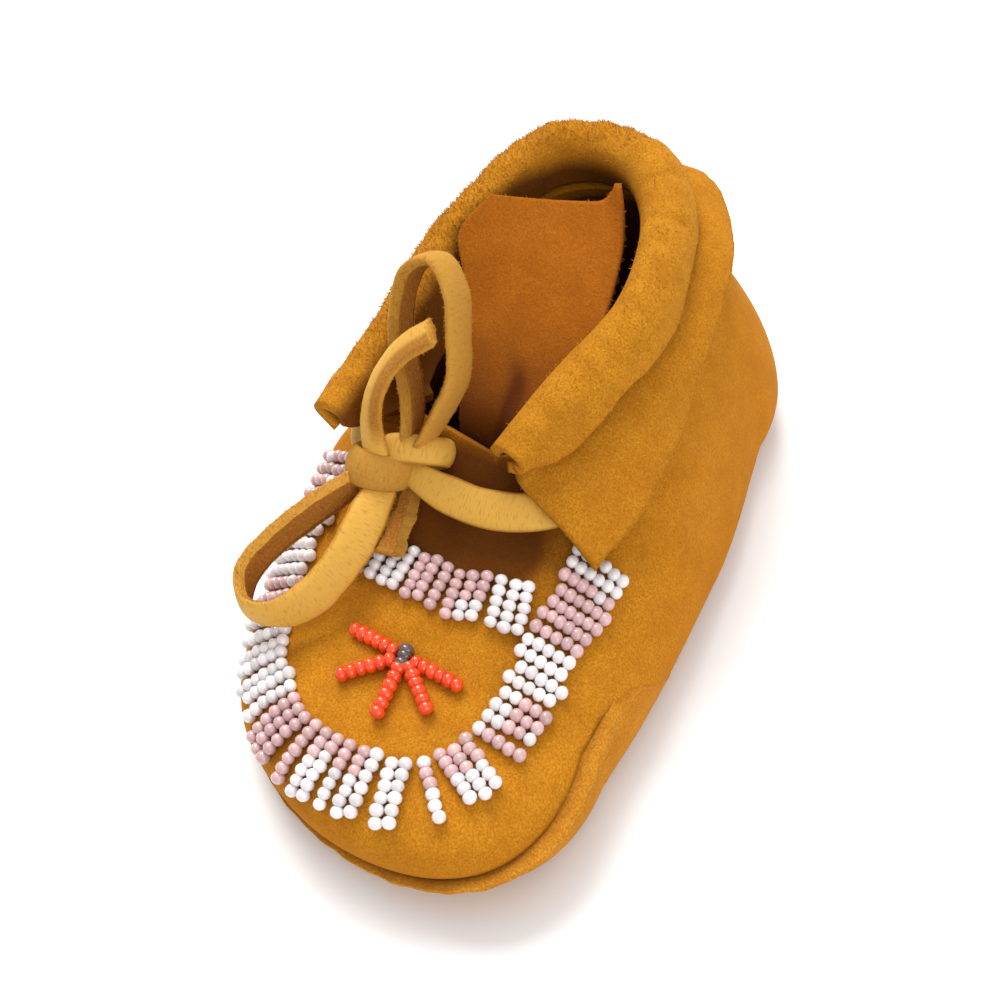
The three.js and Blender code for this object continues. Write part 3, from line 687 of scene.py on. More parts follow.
@dataclass(frozen=True)
class Suede:
    """Napped hide: dry, soft, mottled from its smoking, with fine fibres that catch the light; marks add painted
    shading and painted shade.
    """

    name: str
    deep: str
    body: str
    pale: str
    # Tone of the walls, partly painted shading, and colour of the painted shade in hollows.
    wall: str
    hollow: str = "#4c1f08"
    # Sizes of the nap's clumps and of the mottling, and depth of the nap.
    nap: float = 0.32
    mottle: float = 6.0
    relief: float = 0.26
    # Most that the mottling, and the deeper tone with its painted shading, change the colour.
    mottled: float = 0.55
    smoked: float = 0.45

    def build(self) -> Material:
        """Make the material.

        Returns:
            A material that reads "smoke" for the deeper tone of the walls, partly painted shading, and "shade" for
            painted shade in hollows.
        """
        material, tree, shader = new_material(self.name)
        where = add_node(tree, "ShaderNodeTexCoord").outputs["Object"]
        noise = {"Vector": where, "Detail": 4.0}
        # Fibre clumps of the nap, drawn at a third of a millimetre so that they show.
        clumps = {**noise, "Scale": 1 / (self.nap * MM), "Roughness": 0.7}
        fibre = add_node(tree, "ShaderNodeTexNoise", clumps).outputs["Fac"]
        # Brushed strokes and smoke stains, some millimetres across.
        strokes = {**noise, "Scale": 1 / (self.mottle * MM), "Roughness": 0.72}
        stain = add_node(tree, "ShaderNodeTexNoise", strokes).outputs["Fac"]
        tone = add_node(tree, "ShaderNodeValToRGB", {"Fac": fibre})
        set_stops(tone.color_ramp, (0.31, self.deep), (0.5, self.body), (0.71, self.pale))
        smoke, shade = (
            add_node(tree, "ShaderNodeAttribute", attribute_name=mark).outputs["Fac"] for mark in ("smoke", "shade")
        )
        patches = {"Value": stain, "From Min": 0.4, "From Max": 0.68, "To Max": self.mottled}
        patch = add_node(tree, "ShaderNodeMapRange", patches)
        darkened = add_node(tree, "ShaderNodeMapRange", {"Value": smoke, "To Max": self.smoked})
        colour = tone.outputs["Color"]
        # Mottling, then the deeper tone with its painted shading, then the painted shade of hollows.
        for share, hue in ((patch.outputs[0], self.deep), (darkened.outputs[0], self.wall), (shade, self.hollow)):
            layer = {FACTOR: share, COLOUR_A: colour, COLOUR_B: linear(hue)}
            colour = add_node(tree, "ShaderNodeMix", layer, data_type="RGBA").outputs[MIXED_COLOUR]
        bump = add_node(tree, "ShaderNodeBump", {"Height": fibre, "Strength": 0.7, "Distance": self.relief * MM})
        look = {
            "Base Color": colour,
            "Normal": bump.outputs["Normal"],
            "Roughness": 0.95,
            "Specular IOR Level": 0.12,
            "Sheen Weight": 0.25,
            "Sheen Roughness": 0.55,
            "Sheen Tint": linear(self.pale),
        }
        plug(tree, shader, look)
        return material


@dataclass(frozen=True)
class ThongHide:
    """Cut thong: a smooth grain side with fine cross creases, and a dull suede side and edges."""

    name: str = "smoked hide thong"
    grain: str = "#d1a040"
    crease: str = "#bd8c36"
    suede: str = "#ae7226"
    deep: str = "#824e14"
    cut: str = "#c08a32"
    # Size of the suede side's fibres and depth of the relief.
    fibre: float = 0.4
    relief: float = 0.16

    def build(self) -> Material:
        """Make the material.

        Returns:
            A material that reads the marks "face", "cut", "along" and "over" of a strip.
        """
        material, tree, shader = new_material(self.name)
        where = add_node(tree, "ShaderNodeTexCoord").outputs["Object"]
        face, cut, along, over = (
            add_node(tree, "ShaderNodeAttribute", attribute_name=mark).outputs["Fac"]
            for mark in ("face", "cut", "along", "over")
        )
        strip = add_node(tree, "ShaderNodeCombineXYZ", {"X": along, "Y": over}).outputs["Vector"]
        # Fine creases across the thong where it bends, somewhat over half a millimetre apart.
        finer = add_node(tree, "ShaderNodeMapping", {"Vector": strip, "Scale": (4.0, 0.8, 1.0)}).outputs["Vector"]
        creases = {"Vector": finer, "Scale": 1.0, "Detail": 3.0, "Roughness": 0.55}
        wrinkle = add_node(tree, "ShaderNodeTexNoise", creases).outputs["Fac"]
        fibres = {"Vector": where, "Scale": 1 / (self.fibre * MM), "Detail": 3.0, "Roughness": 0.7}
        fibre = add_node(tree, "ShaderNodeTexNoise", fibres).outputs["Fac"]
        smooth = add_node(tree, "ShaderNodeValToRGB", {"Fac": wrinkle})
        set_stops(smooth.color_ramp, (0.34, self.crease), (0.46, self.grain))
        rough = add_node(tree, "ShaderNodeValToRGB", {"Fac": fibre})
        set_stops(rough.color_ramp, (0.3, self.deep), (0.68, self.suede))
        sides = {FACTOR: face, COLOUR_A: rough.outputs["Color"], COLOUR_B: smooth.outputs["Color"]}
        colour = add_node(tree, "ShaderNodeMix", sides, data_type="RGBA").outputs[MIXED_COLOUR]
        edge = {FACTOR: cut, COLOUR_A: colour, COLOUR_B: linear(self.cut)}
        edged = add_node(tree, "ShaderNodeMix", edge, data_type="RGBA")
        polish = {"Value": face, "From Min": 0.2, "From Max": 1.0, "To Min": 0.95, "To Max": 0.62}
        gloss = add_node(tree, "ShaderNodeMapRange", polish)
        heights = {FACTOR: face, NUMBER_A: fibre, NUMBER_B: wrinkle}
        relief = add_node(tree, "ShaderNodeMix", heights).outputs[MIXED_NUMBER]
        bump = add_node(tree, "ShaderNodeBump", {"Height": relief, "Strength": 0.45, "Distance": self.relief * MM})
        look = {
            "Base Color": edged.outputs[MIXED_COLOUR],
            "Normal": bump.outputs["Normal"],
            "Roughness": gloss.outputs["Result"],
            "Specular IOR Level": 0.3,
            "Sheen Weight": 0.15,
            "Sheen Roughness": 0.5,
            "Sheen Tint": linear(self.grain),
        }
        plug(tree, shader, look)
        return material


class BeadTone(Enum):
    """Colours of the seed beads, with the mark that picks each one."""

    WHITE = (0.05, "#e6e2e4")
    PINK = (0.35, "#ceaaaa")
    RED = (0.65, "#ee4a1c")
    DARK = (0.95, "#5a4c4c")

    @property
    def mark(self) -> float:
        """Give the number that the material reads."""
        return self.value[0]

    @property
    def colour(self) -> str:
        """Give the bead's colour."""
        return self.value[1]


@dataclass(frozen=True)
class SeedBeads:
    """Small rounded glass beads: opaque bodies under a clear bright surface."""

    name: str = "seed bead glass"
    gloss: float = 0.09

    def build(self) -> Material:
        """Make the material.

        Returns:
            A material that reads the marks "tone" and "tint" of each bead.
        """
        material, tree, shader = new_material(self.name)
        tone, tint = (
            add_node(tree, "ShaderNodeAttribute", attribute_name=mark).outputs["Fac"] for mark in ("tone", "tint")
        )
        colour = add_node(tree, "ShaderNodeValToRGB", {"Fac": tone})
        colour.color_ramp.interpolation = "CONSTANT"
        set_stops(colour.color_ramp, *zip((0.0, 0.2, 0.5, 0.8), (bead.colour for bead in BeadTone)))
        varied = add_node(tree, "ShaderNodeHueSaturation", {"Value": tint, "Color": colour.outputs["Color"]})
        look = {
            "Base Color": varied.outputs["Color"],
            "Roughness": self.gloss,
            "IOR": 1.52,
            "Coat Weight": 0.5,
            "Coat Roughness": 0.06,
        }
        plug(tree, shader, look)
        return material


class NodeForm:
    """A geometry tree under way, with its named inputs."""

    def __init__(self, name: str) -> None:
        """Start a tree with a geometry input and output.

        Args:
            name: Name of the tree.
        """
        self.tree = bpy.data.node_groups.new(name, "GeometryNodeTree")
        for way in ("INPUT", "OUTPUT"):
            self.tree.interface.new_socket("Geometry", in_out=way, socket_type="NodeSocketGeometry")
        self.source = self.tree.nodes.new("NodeGroupInput")
        self.values: dict[str, object] = {}

    def named(self, name: str, kind: str, value: object) -> Socket:
        """Add a named input.

        Args:
            name: Name of the input.
            kind: Socket type after "NodeSocket".
            value: What the piece sets it to.

        Returns:
            The input's socket in the tree.
        """
        socket = self.tree.interface.new_socket(name, in_out="INPUT", socket_type=f"NodeSocket{kind}")
        self.values[socket.identifier] = value
        return self.source.outputs[name]

    def run(self, made: Piece, placed: dict, material: Socket) -> Piece:
        """Set instances on points, run the tree on a piece and keep the plain mesh.

        Args:
            made: The piece that carries the points or the surface.
            placed: The points, the instance and its rotation and scale.
            material: Input with the finish.

        Returns:
            The same piece as a plain mesh, without modifiers.
        """
        set_out = add_node(self.tree, "GeometryNodeInstanceOnPoints", placed).outputs["Instances"]
        real = add_node(self.tree, "GeometryNodeRealizeInstances", {"Geometry": set_out}).outputs["Geometry"]
        dressed = add_node(self.tree, "GeometryNodeSetMaterial", {"Geometry": real, "Material": material})
        add_node(self.tree, "NodeGroupOutput", {"Geometry": dressed.outputs["Geometry"]})
        modifier = made.modifiers.new(self.tree.name, "NODES")
        modifier.node_group = self.tree
        for identifier, value in self.values.items():
            modifier[identifier] = value
        graph = bpy.context.evaluated_depsgraph_get()
        shown = made.evaluated_get(graph)
        plain = bpy.data.meshes.new_from_object(shown, preserve_all_data_layers=True, depsgraph=graph)
        plain.name = made.name
        made.modifiers.clear()
        made.data = plain
        return made


@dataclass(frozen=True)
class Nap:
    """Loose fibres that stand out of the suede's raw places."""

    length: float
    thick: float
    density: float
    seed: int
    # Most lean and spin of a fibre in radians, and its shortest and longest share of the length.
    lean: float = 0.9
    spin: float = 3.1
    shortest: float = 0.35
    longest: float = 1.2

    def grow(self, name: str, surface: Surface, material: Material) -> Piece:
        """Grow fibres on a surface.

        Args:
            name: Name of the piece of nap.
            surface: Surface with the mark "nap" from 0 to 1.
            material: Finish of the fibres.

        Returns:
            The fibres as one piece.
        """
        made = surface.piece(name)
        form = NodeForm(name)
        thick = form.named("Fibre Thickness", "Float", self.thick * MM)
        length = form.named("Fibre Length", "Float", self.length * MM)
        density = form.named("Fibres", "Float", self.density / MM**2)
        finish = form.named("Finish", "Material", material)
        nap = add_node(form.tree, "GeometryNodeInputNamedAttribute", {"Name": "nap"}, data_type="FLOAT")
        factors = {0: density, 1: nap.outputs["Attribute"]}
        share = add_node(form.tree, "ShaderNodeMath", factors, operation="MULTIPLY")
        ground = {"Mesh": form.source.outputs["Geometry"], "Density": share.outputs[0], "Seed": self.seed}
        spread = add_node(form.tree, "GeometryNodeDistributePointsOnFaces", ground)
        cone = {"Vertices": 3, "Side Segments": 1, "Radius Top": 0.0, "Radius Bottom": thick, "Depth": length}
        fibre = add_node(form.tree, "GeometryNodeMeshCone", cone, fill_type="NONE")
        # A random value's inputs go by place: 0 and 1 for vectors, 2 and 3 for numbers.
        most = np.array((self.lean, self.lean, self.spin))
        tilted = {0: tuple(-most), 1: tuple(most), "Seed": self.seed + 1}
        tilt = add_node(form.tree, "FunctionNodeRandomValue", tilted, data_type="FLOAT_VECTOR")
        bend = add_node(form.tree, "FunctionNodeEulerToRotation", {"Euler": tilt.outputs["Value"]})
        turning = {"Rotation": spread.outputs["Rotation"], "Rotate By": bend.outputs["Rotation"]}
        turned = add_node(form.tree, "FunctionNodeRotateRotation", turning, rotation_space="LOCAL")
        sizes = {2: self.shortest, 3: self.longest, "Seed": self.seed + 2}
        size = add_node(form.tree, "FunctionNodeRandomValue", sizes, data_type="FLOAT")
        placed = {
            "Points": spread.outputs["Points"],
            "Instance": fibre.outputs["Mesh"],
            "Rotation": turned.outputs["Rotation"],
            "Scale": size.outputs[1],
        }
        return form.run(made, placed, finish)


@dataclass(frozen=True)
class Upper:
    """Vamp and quarters: one hollow wall over the last, open at the ankle and the throat."""

    last: Last
    gap: float = 0.12
    # Levels of the mesh, and steps of the last's line below and above its widest height.
    levels: int = 64
    low_steps: int = 24
    high_steps: int = 140
    # Height, middle and width of the seam's tuck and of the swell above it, then darkness, middle and width of the
    # painted shade in the seam's groove.
    seam_bells: Table = ((-0.3, 0.0, 0.6), (0.2, 4.0, 2.4))
    groove_shade: Point = (0.7, 0.0, 0.45)
    # The hide is this uneven all over.
    uneven: float = 0.16
    # Where there is no lip, the wall reaches this far down behind the sole.
    overlap: float = 0.5
    # The rim at ankle and throat stays pale over this width, free of painted shade; then the darkest painted shade,
    # and the painted shade of the inner face.
    pale_rim: float = 2.6
    darkest: float = 0.88
    inside_shade: float = 0.8
    folds: tuple[Fold, ...] = (
        Fold((29.3, -21.0, 15.5), (30.5, -12.0, 18.0), 2.2, -0.7),
        Fold((31.5, -14.0, 9.0), (29.0, -24.0, 10.0), 3.2, 0.5),
        Fold((29.5, 4.0, 20.0), (31.0, 12.0, 8.0), 6.0, -0.7),
        Fold((26.0, 26.0, 22.0), (27.5, 34.0, 8.0), 5.0, -0.6),
        Fold((-29.0, -4.0, 20.0), (-30.0, 8.0, 9.0), 6.0, -0.7),
        Fold((-25.0, 24.0, 24.0), (-26.5, 32.0, 9.0), 5.0, -0.6),
        Fold((-6.5, 56.0, 36.0), (0.0, 59.8, 8.0), 1.0, -0.8),
        Fold((-3.4, 56.0, 34.0), (2.4, 59.6, 9.0), 1.6, 0.5),
        Fold((-8.0, -15.5, 23.0), (14.0, -9.5, 26.0), 4.6, -1.5),
    )
    # Painted shadows in hollows that no light gets into, with their darkness as the depth.
    painted_shadows: tuple[Fold, ...] = (
        Fold((-13.0, -18.4, 24.0), (19.0, -11.5, 24.5), 5.6, 0.7),
        Fold((-12.0, -17.0, 25.0), (13.0, -15.5, 25.0), 6.0, 0.8),
        Fold((-14.0, -8.0, 29.0), (11.0, -7.0, 28.5), 5.0, 1.1),
    )

    def shell(self) -> Surface:
        """Lay the hide over the last, from the sole's seam up to the edge of ankle and throat.

        Returns:
            The outer face, with marks "tuck" for the push at the seam, "shade" for painted shade in its groove and
            "under" for the way up to the edge.
        """
        last = self.last
        cols = last.columns(*AROUND)
        radius, z = last.wall_line(cols, self.low_steps, self.high_steps)
        turn = last.turn(cols)
        lip = ease(last.seam_lip(turn), FLUSH_LIP, 0.4)
        start = last.seam_height(turn) + self.gap - self.overlap * (1 - lip)
        # Levels lie closer together near the seam.
        levels = np.linspace(0, 1, self.levels + 1) ** 1.2
        grid, above, under = [], [], []
        for low, heights, path in zip(start, z, last.place(cols, radius, z)):
            walked = walk(path)
            first, final = np.interp(low, heights, walked), walked[-1]
            over = path[:, 2] - last.topline_height(path[:, 1])
            out = np.flatnonzero(over > 0)
            if len(out):
                crossing = slice(out[0] - 1, out[0] + 1)
                final = np.interp(0, over[crossing], walked[crossing])
            place = first + (final - first) * levels
            grid.append(np.stack([np.interp(place, walked, axis) for axis in path.T], axis=-1))
            above.append(place - first)
            # A line that runs on to the crest has no edge near it.
            under.append(final - place + (0 if len(out) else 99))
        above, lips = np.array(above), lip[:, None]
        tuck = lips * sum(height * bell(above, middle, width) for height, middle, width in self.seam_bells)
        # Painted shade in the groove along the seam.
        groove_shade = self.groove_shade[0] * lips * bell(above, *self.groove_shade[1:])
        sheet = Surface.from_grid(np.array(grid), wrap=True, tuck=tuck, shade=groove_shade, under=np.array(under)).weld()
        return sheet.facing(sheet.points - (0, 0, 15))

    def build(self, material: Material) -> None:
        """Make the upper.

        Args:
            material: Its suede.
        """
        shell = self.shell()
        normal = shell.normals()
        under_edge = ease(shell.marks.pop("under"), self.pale_rim, 1.0)
        # Painted shadow in the hollows, kept off the pale rim.
        dark = sum(hollow.push(shell.points) for hollow in self.painted_shadows) * under_edge
        shell.marks["shade"] = np.clip(shell.marks["shade"] + dark, 0, self.darkest)
        push = shell.marks.pop("tuck") + sum(fold.push(shell.points) for fold in self.folds)
        soft = self.uneven * np.sin(shell.points[:, 0] * 0.23 + 1.1) * np.sin(shell.points[:, 1] * 0.19)
        shell.points = shell.points + (push + soft)[:, None] * normal
        # Painted shading: the more a wall turns from facing up, the deeper its tone, with less of it near the rim.
        shell.marks["smoke"] = ease(normal[:, 2], 0.8, -0.7) * (0.3 + 0.7 * under_edge)
        form = shell.thicken(self.last.wall, 0.0)
        # Painted shade on the inner face, kept off the rim.
        form.marks["shade"][len(under_edge) :] = self.inside_shade * under_edge
        dress(form.piece("hide_upper", material), Slot.SUEDE, "upper")


@dataclass(frozen=True)
class Sole:
    """Soft sole: a tray whose edge turns up to the seam and stands out there as a lip."""

    last: Last
    pucker: float = 0.12
    gathers: tuple[Wave, ...] = ((0.6, 61, 0.2), (0.6, 37, 0.6))
    # How fast and how far the lip comes up, how much it stands out and how far down it shows.
    lip_gain: float = 2.4
    lip_most: float = 1.3
    lip_bulge: float = 1.25
    lip_reach: float = 2.2
    # The tray's deeper tone, lightened near the lip as a painted highlight, and the painted shade inside the shoe.
    smoke: float = 0.7
    inside_shade: float = 0.8
    # Steps up the wall outside and inside, and across half of the flat.
    wall_steps: int = 27
    inner_steps: int = 9
    flat_steps: int = 8

    def build(self, material: Material) -> None:
        """Make the sole.

        Args:
            material: Its suede.
        """
        last, flat = self.last, self.flat_steps
        cols = last.columns(*AROUND)
        count = len(cols.spine)
        turn = last.turn(cols)
        seam = last.seam_height(turn)[:, None]
        lip = np.clip(self.lip_gain * (last.seam_lip(turn)[:, None] - FLUSH_LIP), 0, self.lip_most)
        full = cols.radius[:, None]

        def reach(z: np.ndarray, offset: float) -> np.ndarray:
            """Give the last's distance from the spine.

            Args:
                z: Heights.
                offset: How far the last is moved out.

            Returns:
                Distances by column and height.
            """
            down = ease(z, last.widest, -(last.widest + offset))
            low = full + offset - last.lower_round * (1 - np.sqrt(1 - down**2))
            square = last.arch(cols.spine, cols.dx)[:, None]
            crest = last.column(3)(cols.spine)[:, None]
            rise = ease(z, last.widest, crest + offset - last.widest)
            return np.where(z <= last.widest, low, (full + offset) * (1 - rise**square) ** (1 / square))

        # Steps lie closer together near the lip.
        up = seam * np.linspace(0, 1, self.wall_steps)[None] ** 0.85
        below = seam - up
        near_lip = np.clip(lip, 0, 1) * bell(below, 0, self.lip_reach)
        walked = np.arange(count)[:, None] / count
        gather = self.pucker * near_lip * ripple(walked, *self.gathers)
        bulge = self.lip_bulge * lip * bell(below, 0.5, 1.1) + gather
        outside = last.place(cols, reach(up, 0.0) + bulge, up)
        inner_up = last.wall + (seam - last.wall) * np.linspace(1, 0, self.inner_steps)[None]
        inside = last.place(cols, np.maximum(reach(inner_up, -last.wall), 0), inner_up)
        spread = np.linspace(0, 1, flat + 1)[None, :-1]
        under = last.place(cols, reach(np.zeros((count, 1)), 0.0) * spread, np.zeros((count, flat)))
        edge = reach(np.full((count, 1), last.wall), -last.wall)
        floor = last.place(cols, edge * spread[:, ::-1], np.full((count, flat), last.wall))
        grid = np.concatenate([under, outside, inside, floor], axis=1)
        # Painted light and shade: the tray takes the deeper tone, lightened near the lip as a painted highlight, with
        # painted shade inside.
        smoke, shade = np.full(grid.shape[:2], self.smoke), np.zeros(grid.shape[:2])
        smoke[:, flat : flat + self.wall_steps] -= self.smoke * near_lip
        shade[:, flat + self.wall_steps :] = self.inside_shade
        tray = Surface.from_grid(grid, wrap=True, smoke=smoke, shade=shade).weld()
        tray.facing(np.where(tray.points[:, 2:] < 0.4, 1, 0) * (0, 0, -1))
        dress(tray.piece("hide_sole", material), Slot.SOLE, "sole")


@dataclass(frozen=True)
class Collar:
    """Rolled cuff round the ankle and the loose flap under it."""

    last: Last
    steps: int = 200
    gap: float = 0.3
    flap_thick: float = 1.4
    flap_swell: float = 1.5
    # The flap ends just short of the cuff's outer end.
    flap_until: float = 0.975
    inside: Point = (-4.0, 18.0, 30.0)
    roll_waves: tuple[Wave, ...] = ((0.35, 5, 0.1), (0.2, 11, 0.4), (0.16, 23, 0.7), (0.1, 37, 0.2))
    edge_waves: tuple[Wave, ...] = ((0.3, 7, 0.3), (0.18, 17, 0.1), (0.1, 41, 0.5))
    hem_waves: tuple[Wave, ...] = ((0.3, 9, 0.2), (0.15, 27, 0.6), (0.1, 61, 0.1))
    # Share of the roll's width, height over the rim, what sway and press add to it, what tucking adds to the share.
    profile: Table = (
        (0.0, -2.6, 0.0, 0.0, 0.0),
        (0.12, -0.5, 0.3, -0.5, 0.0),
        (0.38, 0.6, 1.0, -1.2, 0.0),
        (0.68, -0.2, 1.0, -0.9, 0.0),
        (0.92, -2.4, 0.5, 0.4, -0.3),
    )
    roll_nap: Nap = Nap(0.8, 0.07, 7.0, 11)
    flap_nap: Nap = Nap(0.5, 0.06, 5.0, 23)
    # Rim x, y and height, width of the roll, its drop, and the flap's hem x, y and z.
    rows: Table = (
        (2.2, -7.6, 38.0, 7.4, 4.8, 21.0, -13, 25.4),
        (5.8, 6, 43.0, 8.0, 5.2, 22.9, 1, 28.8),
        (8.7, 17.6, 46.0, 7.4, 5.4, 21.2, 13.8, 31.6),
        (6.7, 29.1, 47.5, 6.8, 4.8, 19.3, 27.4, 36.6),
        (2.7, 37.6, 48.0, 7.4, 4.8, 15.4, 41.6, 38.6),
        (-4, 44.2, 48.0, 8.4, 5.2, 4.5, 55.4, 38.8),
        (-11, 45.6, 48.0, 8.4, 6.0, -9, 57.4, 38.0),
        (-16, 43.2, 48.0, 6.8, 6.0, -20, 52, 37.5),
        (-18.8, 34.9, 47.5, 6.4, 6.0, -25, 40, 37.0),
        (-18.8, 20, 45.8, 7.4, 6.0, -26.4, 21, 35.4),
        (-18.4, 5, 42.8, 7.4, 5.6, -26, 4, 33.6),
        (-20, -13, 38.6, 7.0, 5.4, -25.4, -13.2, 32.4),
    )

    def sections(self) -> tuple[np.ndarray, np.ndarray, np.ndarray]:
        """Run the rim round the ankle.

        Returns:
            Rim points, directions out of the shoe, and width and drop of the roll.
        """
        table = np.array(self.rows, float)
        rim = spline(table[:, [0, 1, 2]], self.steps)
        form = spline(table[:, [3, 4, 2]], self.steps)
        tangent = np.gradient(rim, axis=0)
        out = unit(np.stack([tangent[:, 1], -tangent[:, 0], np.zeros(len(rim))], axis=-1))
        return rim, out, form

    def at(self, side: float | np.ndarray, up: float | np.ndarray) -> np.ndarray:
        """Give points of all sections out from the rim and up from it.

        Args:
            side: Share of the roll's width.
            up: Height above the rim.

        Returns:
            One point for each section.
        """
        rim, out, form = self.sections()
        points = rim + out * (np.asarray(side) * form[:, 0])[:, None]
        points[:, 2] = rim[:, 2] + up
        return points

    def feet(self) -> np.ndarray:
        """Find where each section stands on the ankle's edge.

        Returns:
            One point for each section.
        """
        rim = self.sections()[0]
        some = np.unique(np.append(np.arange(0, len(rim), 8), len(rim) - 1))
        found = []
        for p in rim[some]:
            turn = math.degrees(math.atan2(p[0] - self.last.ankle_x, self.last.ankle_y - p[1])) % 360
            edge = self.last.edge_height(turn) + self.gap + 0.9
            found.append((*self.last.on_ankle(turn, edge, -self.last.wall / 2)[:2], edge))
        return np.stack([np.interp(np.arange(len(rim)), some, axis) for axis in np.array(found).T], axis=-1)

    def closed(self, sheet: Surface, thick: float) -> Surface:
        """Turn a sheet's faces away from the ankle and give it a wall.

        Args:
            sheet: The sheet.
            thick: Thickness of the wall.

        Returns:
            The closed form.
        """
        away = sheet.points - self.inside
        reach = np.linalg.norm(away[:, :2], axis=1)
        outer = (sheet.points[:, 2] < np.median(sheet.points[:, 2])) & (reach > np.median(reach))
        return sheet.facing(away * outer[:, None]).thicken(thick)

    def roll(self) -> Surface:
        """Shape the rolled cuff.

        Returns:
            The cuff as a closed form with the marks "smoke", "shade" for painted shadow, and "nap".
        """
        drop = self.sections()[2][:, 1]
        share = np.linspace(0, 1, self.steps + 1)
        foot = self.feet()
        sway = ripple(share, *self.roll_waves)
        low = ease(np.minimum(share, 1 - share), 0, 0.07) * ripple(share, *self.edge_waves)
        # Both ends of the roll are pressed flat, with its edge tucked in under it.
        press = ease(share, 0.9, 0.1) + ease(share, 0.05, -0.05)
        tucked = 0.7 * ease(share, 0.93, 0.07) ** 2 + 0.65 * ease(share, 0.06, -0.06) ** 2
        lines = [foot, foot + 0.55 * (self.at(0, -4) - foot)]
        for side, up, swayed, pressed, drawn in self.profile:
            lines.append(self.at(side + drawn * tucked, up + swayed * sway + pressed * press))
        lines.append(self.at(1 - tucked, -drop + low - 0.6 * press + 3 * tucked))
        grid = spline(np.stack(lines), 49)
        across = np.linspace(0, 1, len(grid))[:, None]
        # The nap is raised on the back and the outer side.
        raised = (np.maximum(ease(share, 0.42, 0.12), 0.15) * (1 - press))[None]
        nap = bell(across, 0.62, 0.22) * raised + 0.8 * (across > 0.97) * raised
        # The roll's inner part gets the deeper tone, as painted shading.
        smoke = 0.15 + 0.6 * (across < 0.4)
        # Painted shadow on the inside of the roll, which reaches higher on the shoe's outer side.
        inner = 0.34 + 0.2 * ease(share, 0.66, 0.12)[None]
        shade = 0.85 * ease(across, inner, -0.14)
        return self.closed(Surface.from_grid(grid, nap=nap, smoke=smoke, shade=shade), self.last.wall)

    def flap(self) -> Surface:
        """Shape the flap with its raw hem.

        Returns:
            The flap as a closed form with the marks "smoke", "shade" for painted shade, and "nap".
        """
        drop = self.sections()[2][:, 1]
        share = np.linspace(0, 1, self.steps + 1)
        hem = spline(np.array(self.rows, float)[:, [5, 6, 7]], self.steps)
        hem[:, 2] += ripple(share, *self.hem_waves)
        under = self.at(0.7, -drop - 1)
        swell = self.flap_swell * unit(self.at(1, 0) - self.at(0, 0))
        lines = [self.at(0.5, -2.9), self.at(0.62, -3.8), under, (under + hem) / 2 + swell, hem]
        grid = spline(np.stack(lines), 36)[:, share < self.flap_until]
        across = np.linspace(0, 1, len(grid))[:, None]
        nap = 0.5 * (across > 0.95) + 0.05
        # Painted shade on the part of the flap under the roll; the tone deepens towards the hem.
        shade = 0.5 * ease(across, 0.45, -0.2)
        sheet = Surface.from_grid(grid, nap=nap, smoke=0.25 + 0.3 * across, shade=shade)
        return self.closed(sheet, self.flap_thick)

    def build(self, material: Material, nap: Material) -> None:
        """Make the cuff, the flap and the nap on both.

        Args:
            material: Suede of the cuff and flap.
            nap: Finish of the loose fibres.
        """
        roll, flap = self.roll(), self.flap()
        dress(roll.piece("hide_cuff", material), Slot.SUEDE, "cuff")
        dress(flap.piece("hide_flap", material), Slot.SUEDE, "ankle_flap")
        dress(self.roll_nap.grow("cuff_nap", roll, nap), Slot.SUEDE)
        dress(self.flap_nap.grow("flap_nap", flap, nap), Slot.SUEDE)


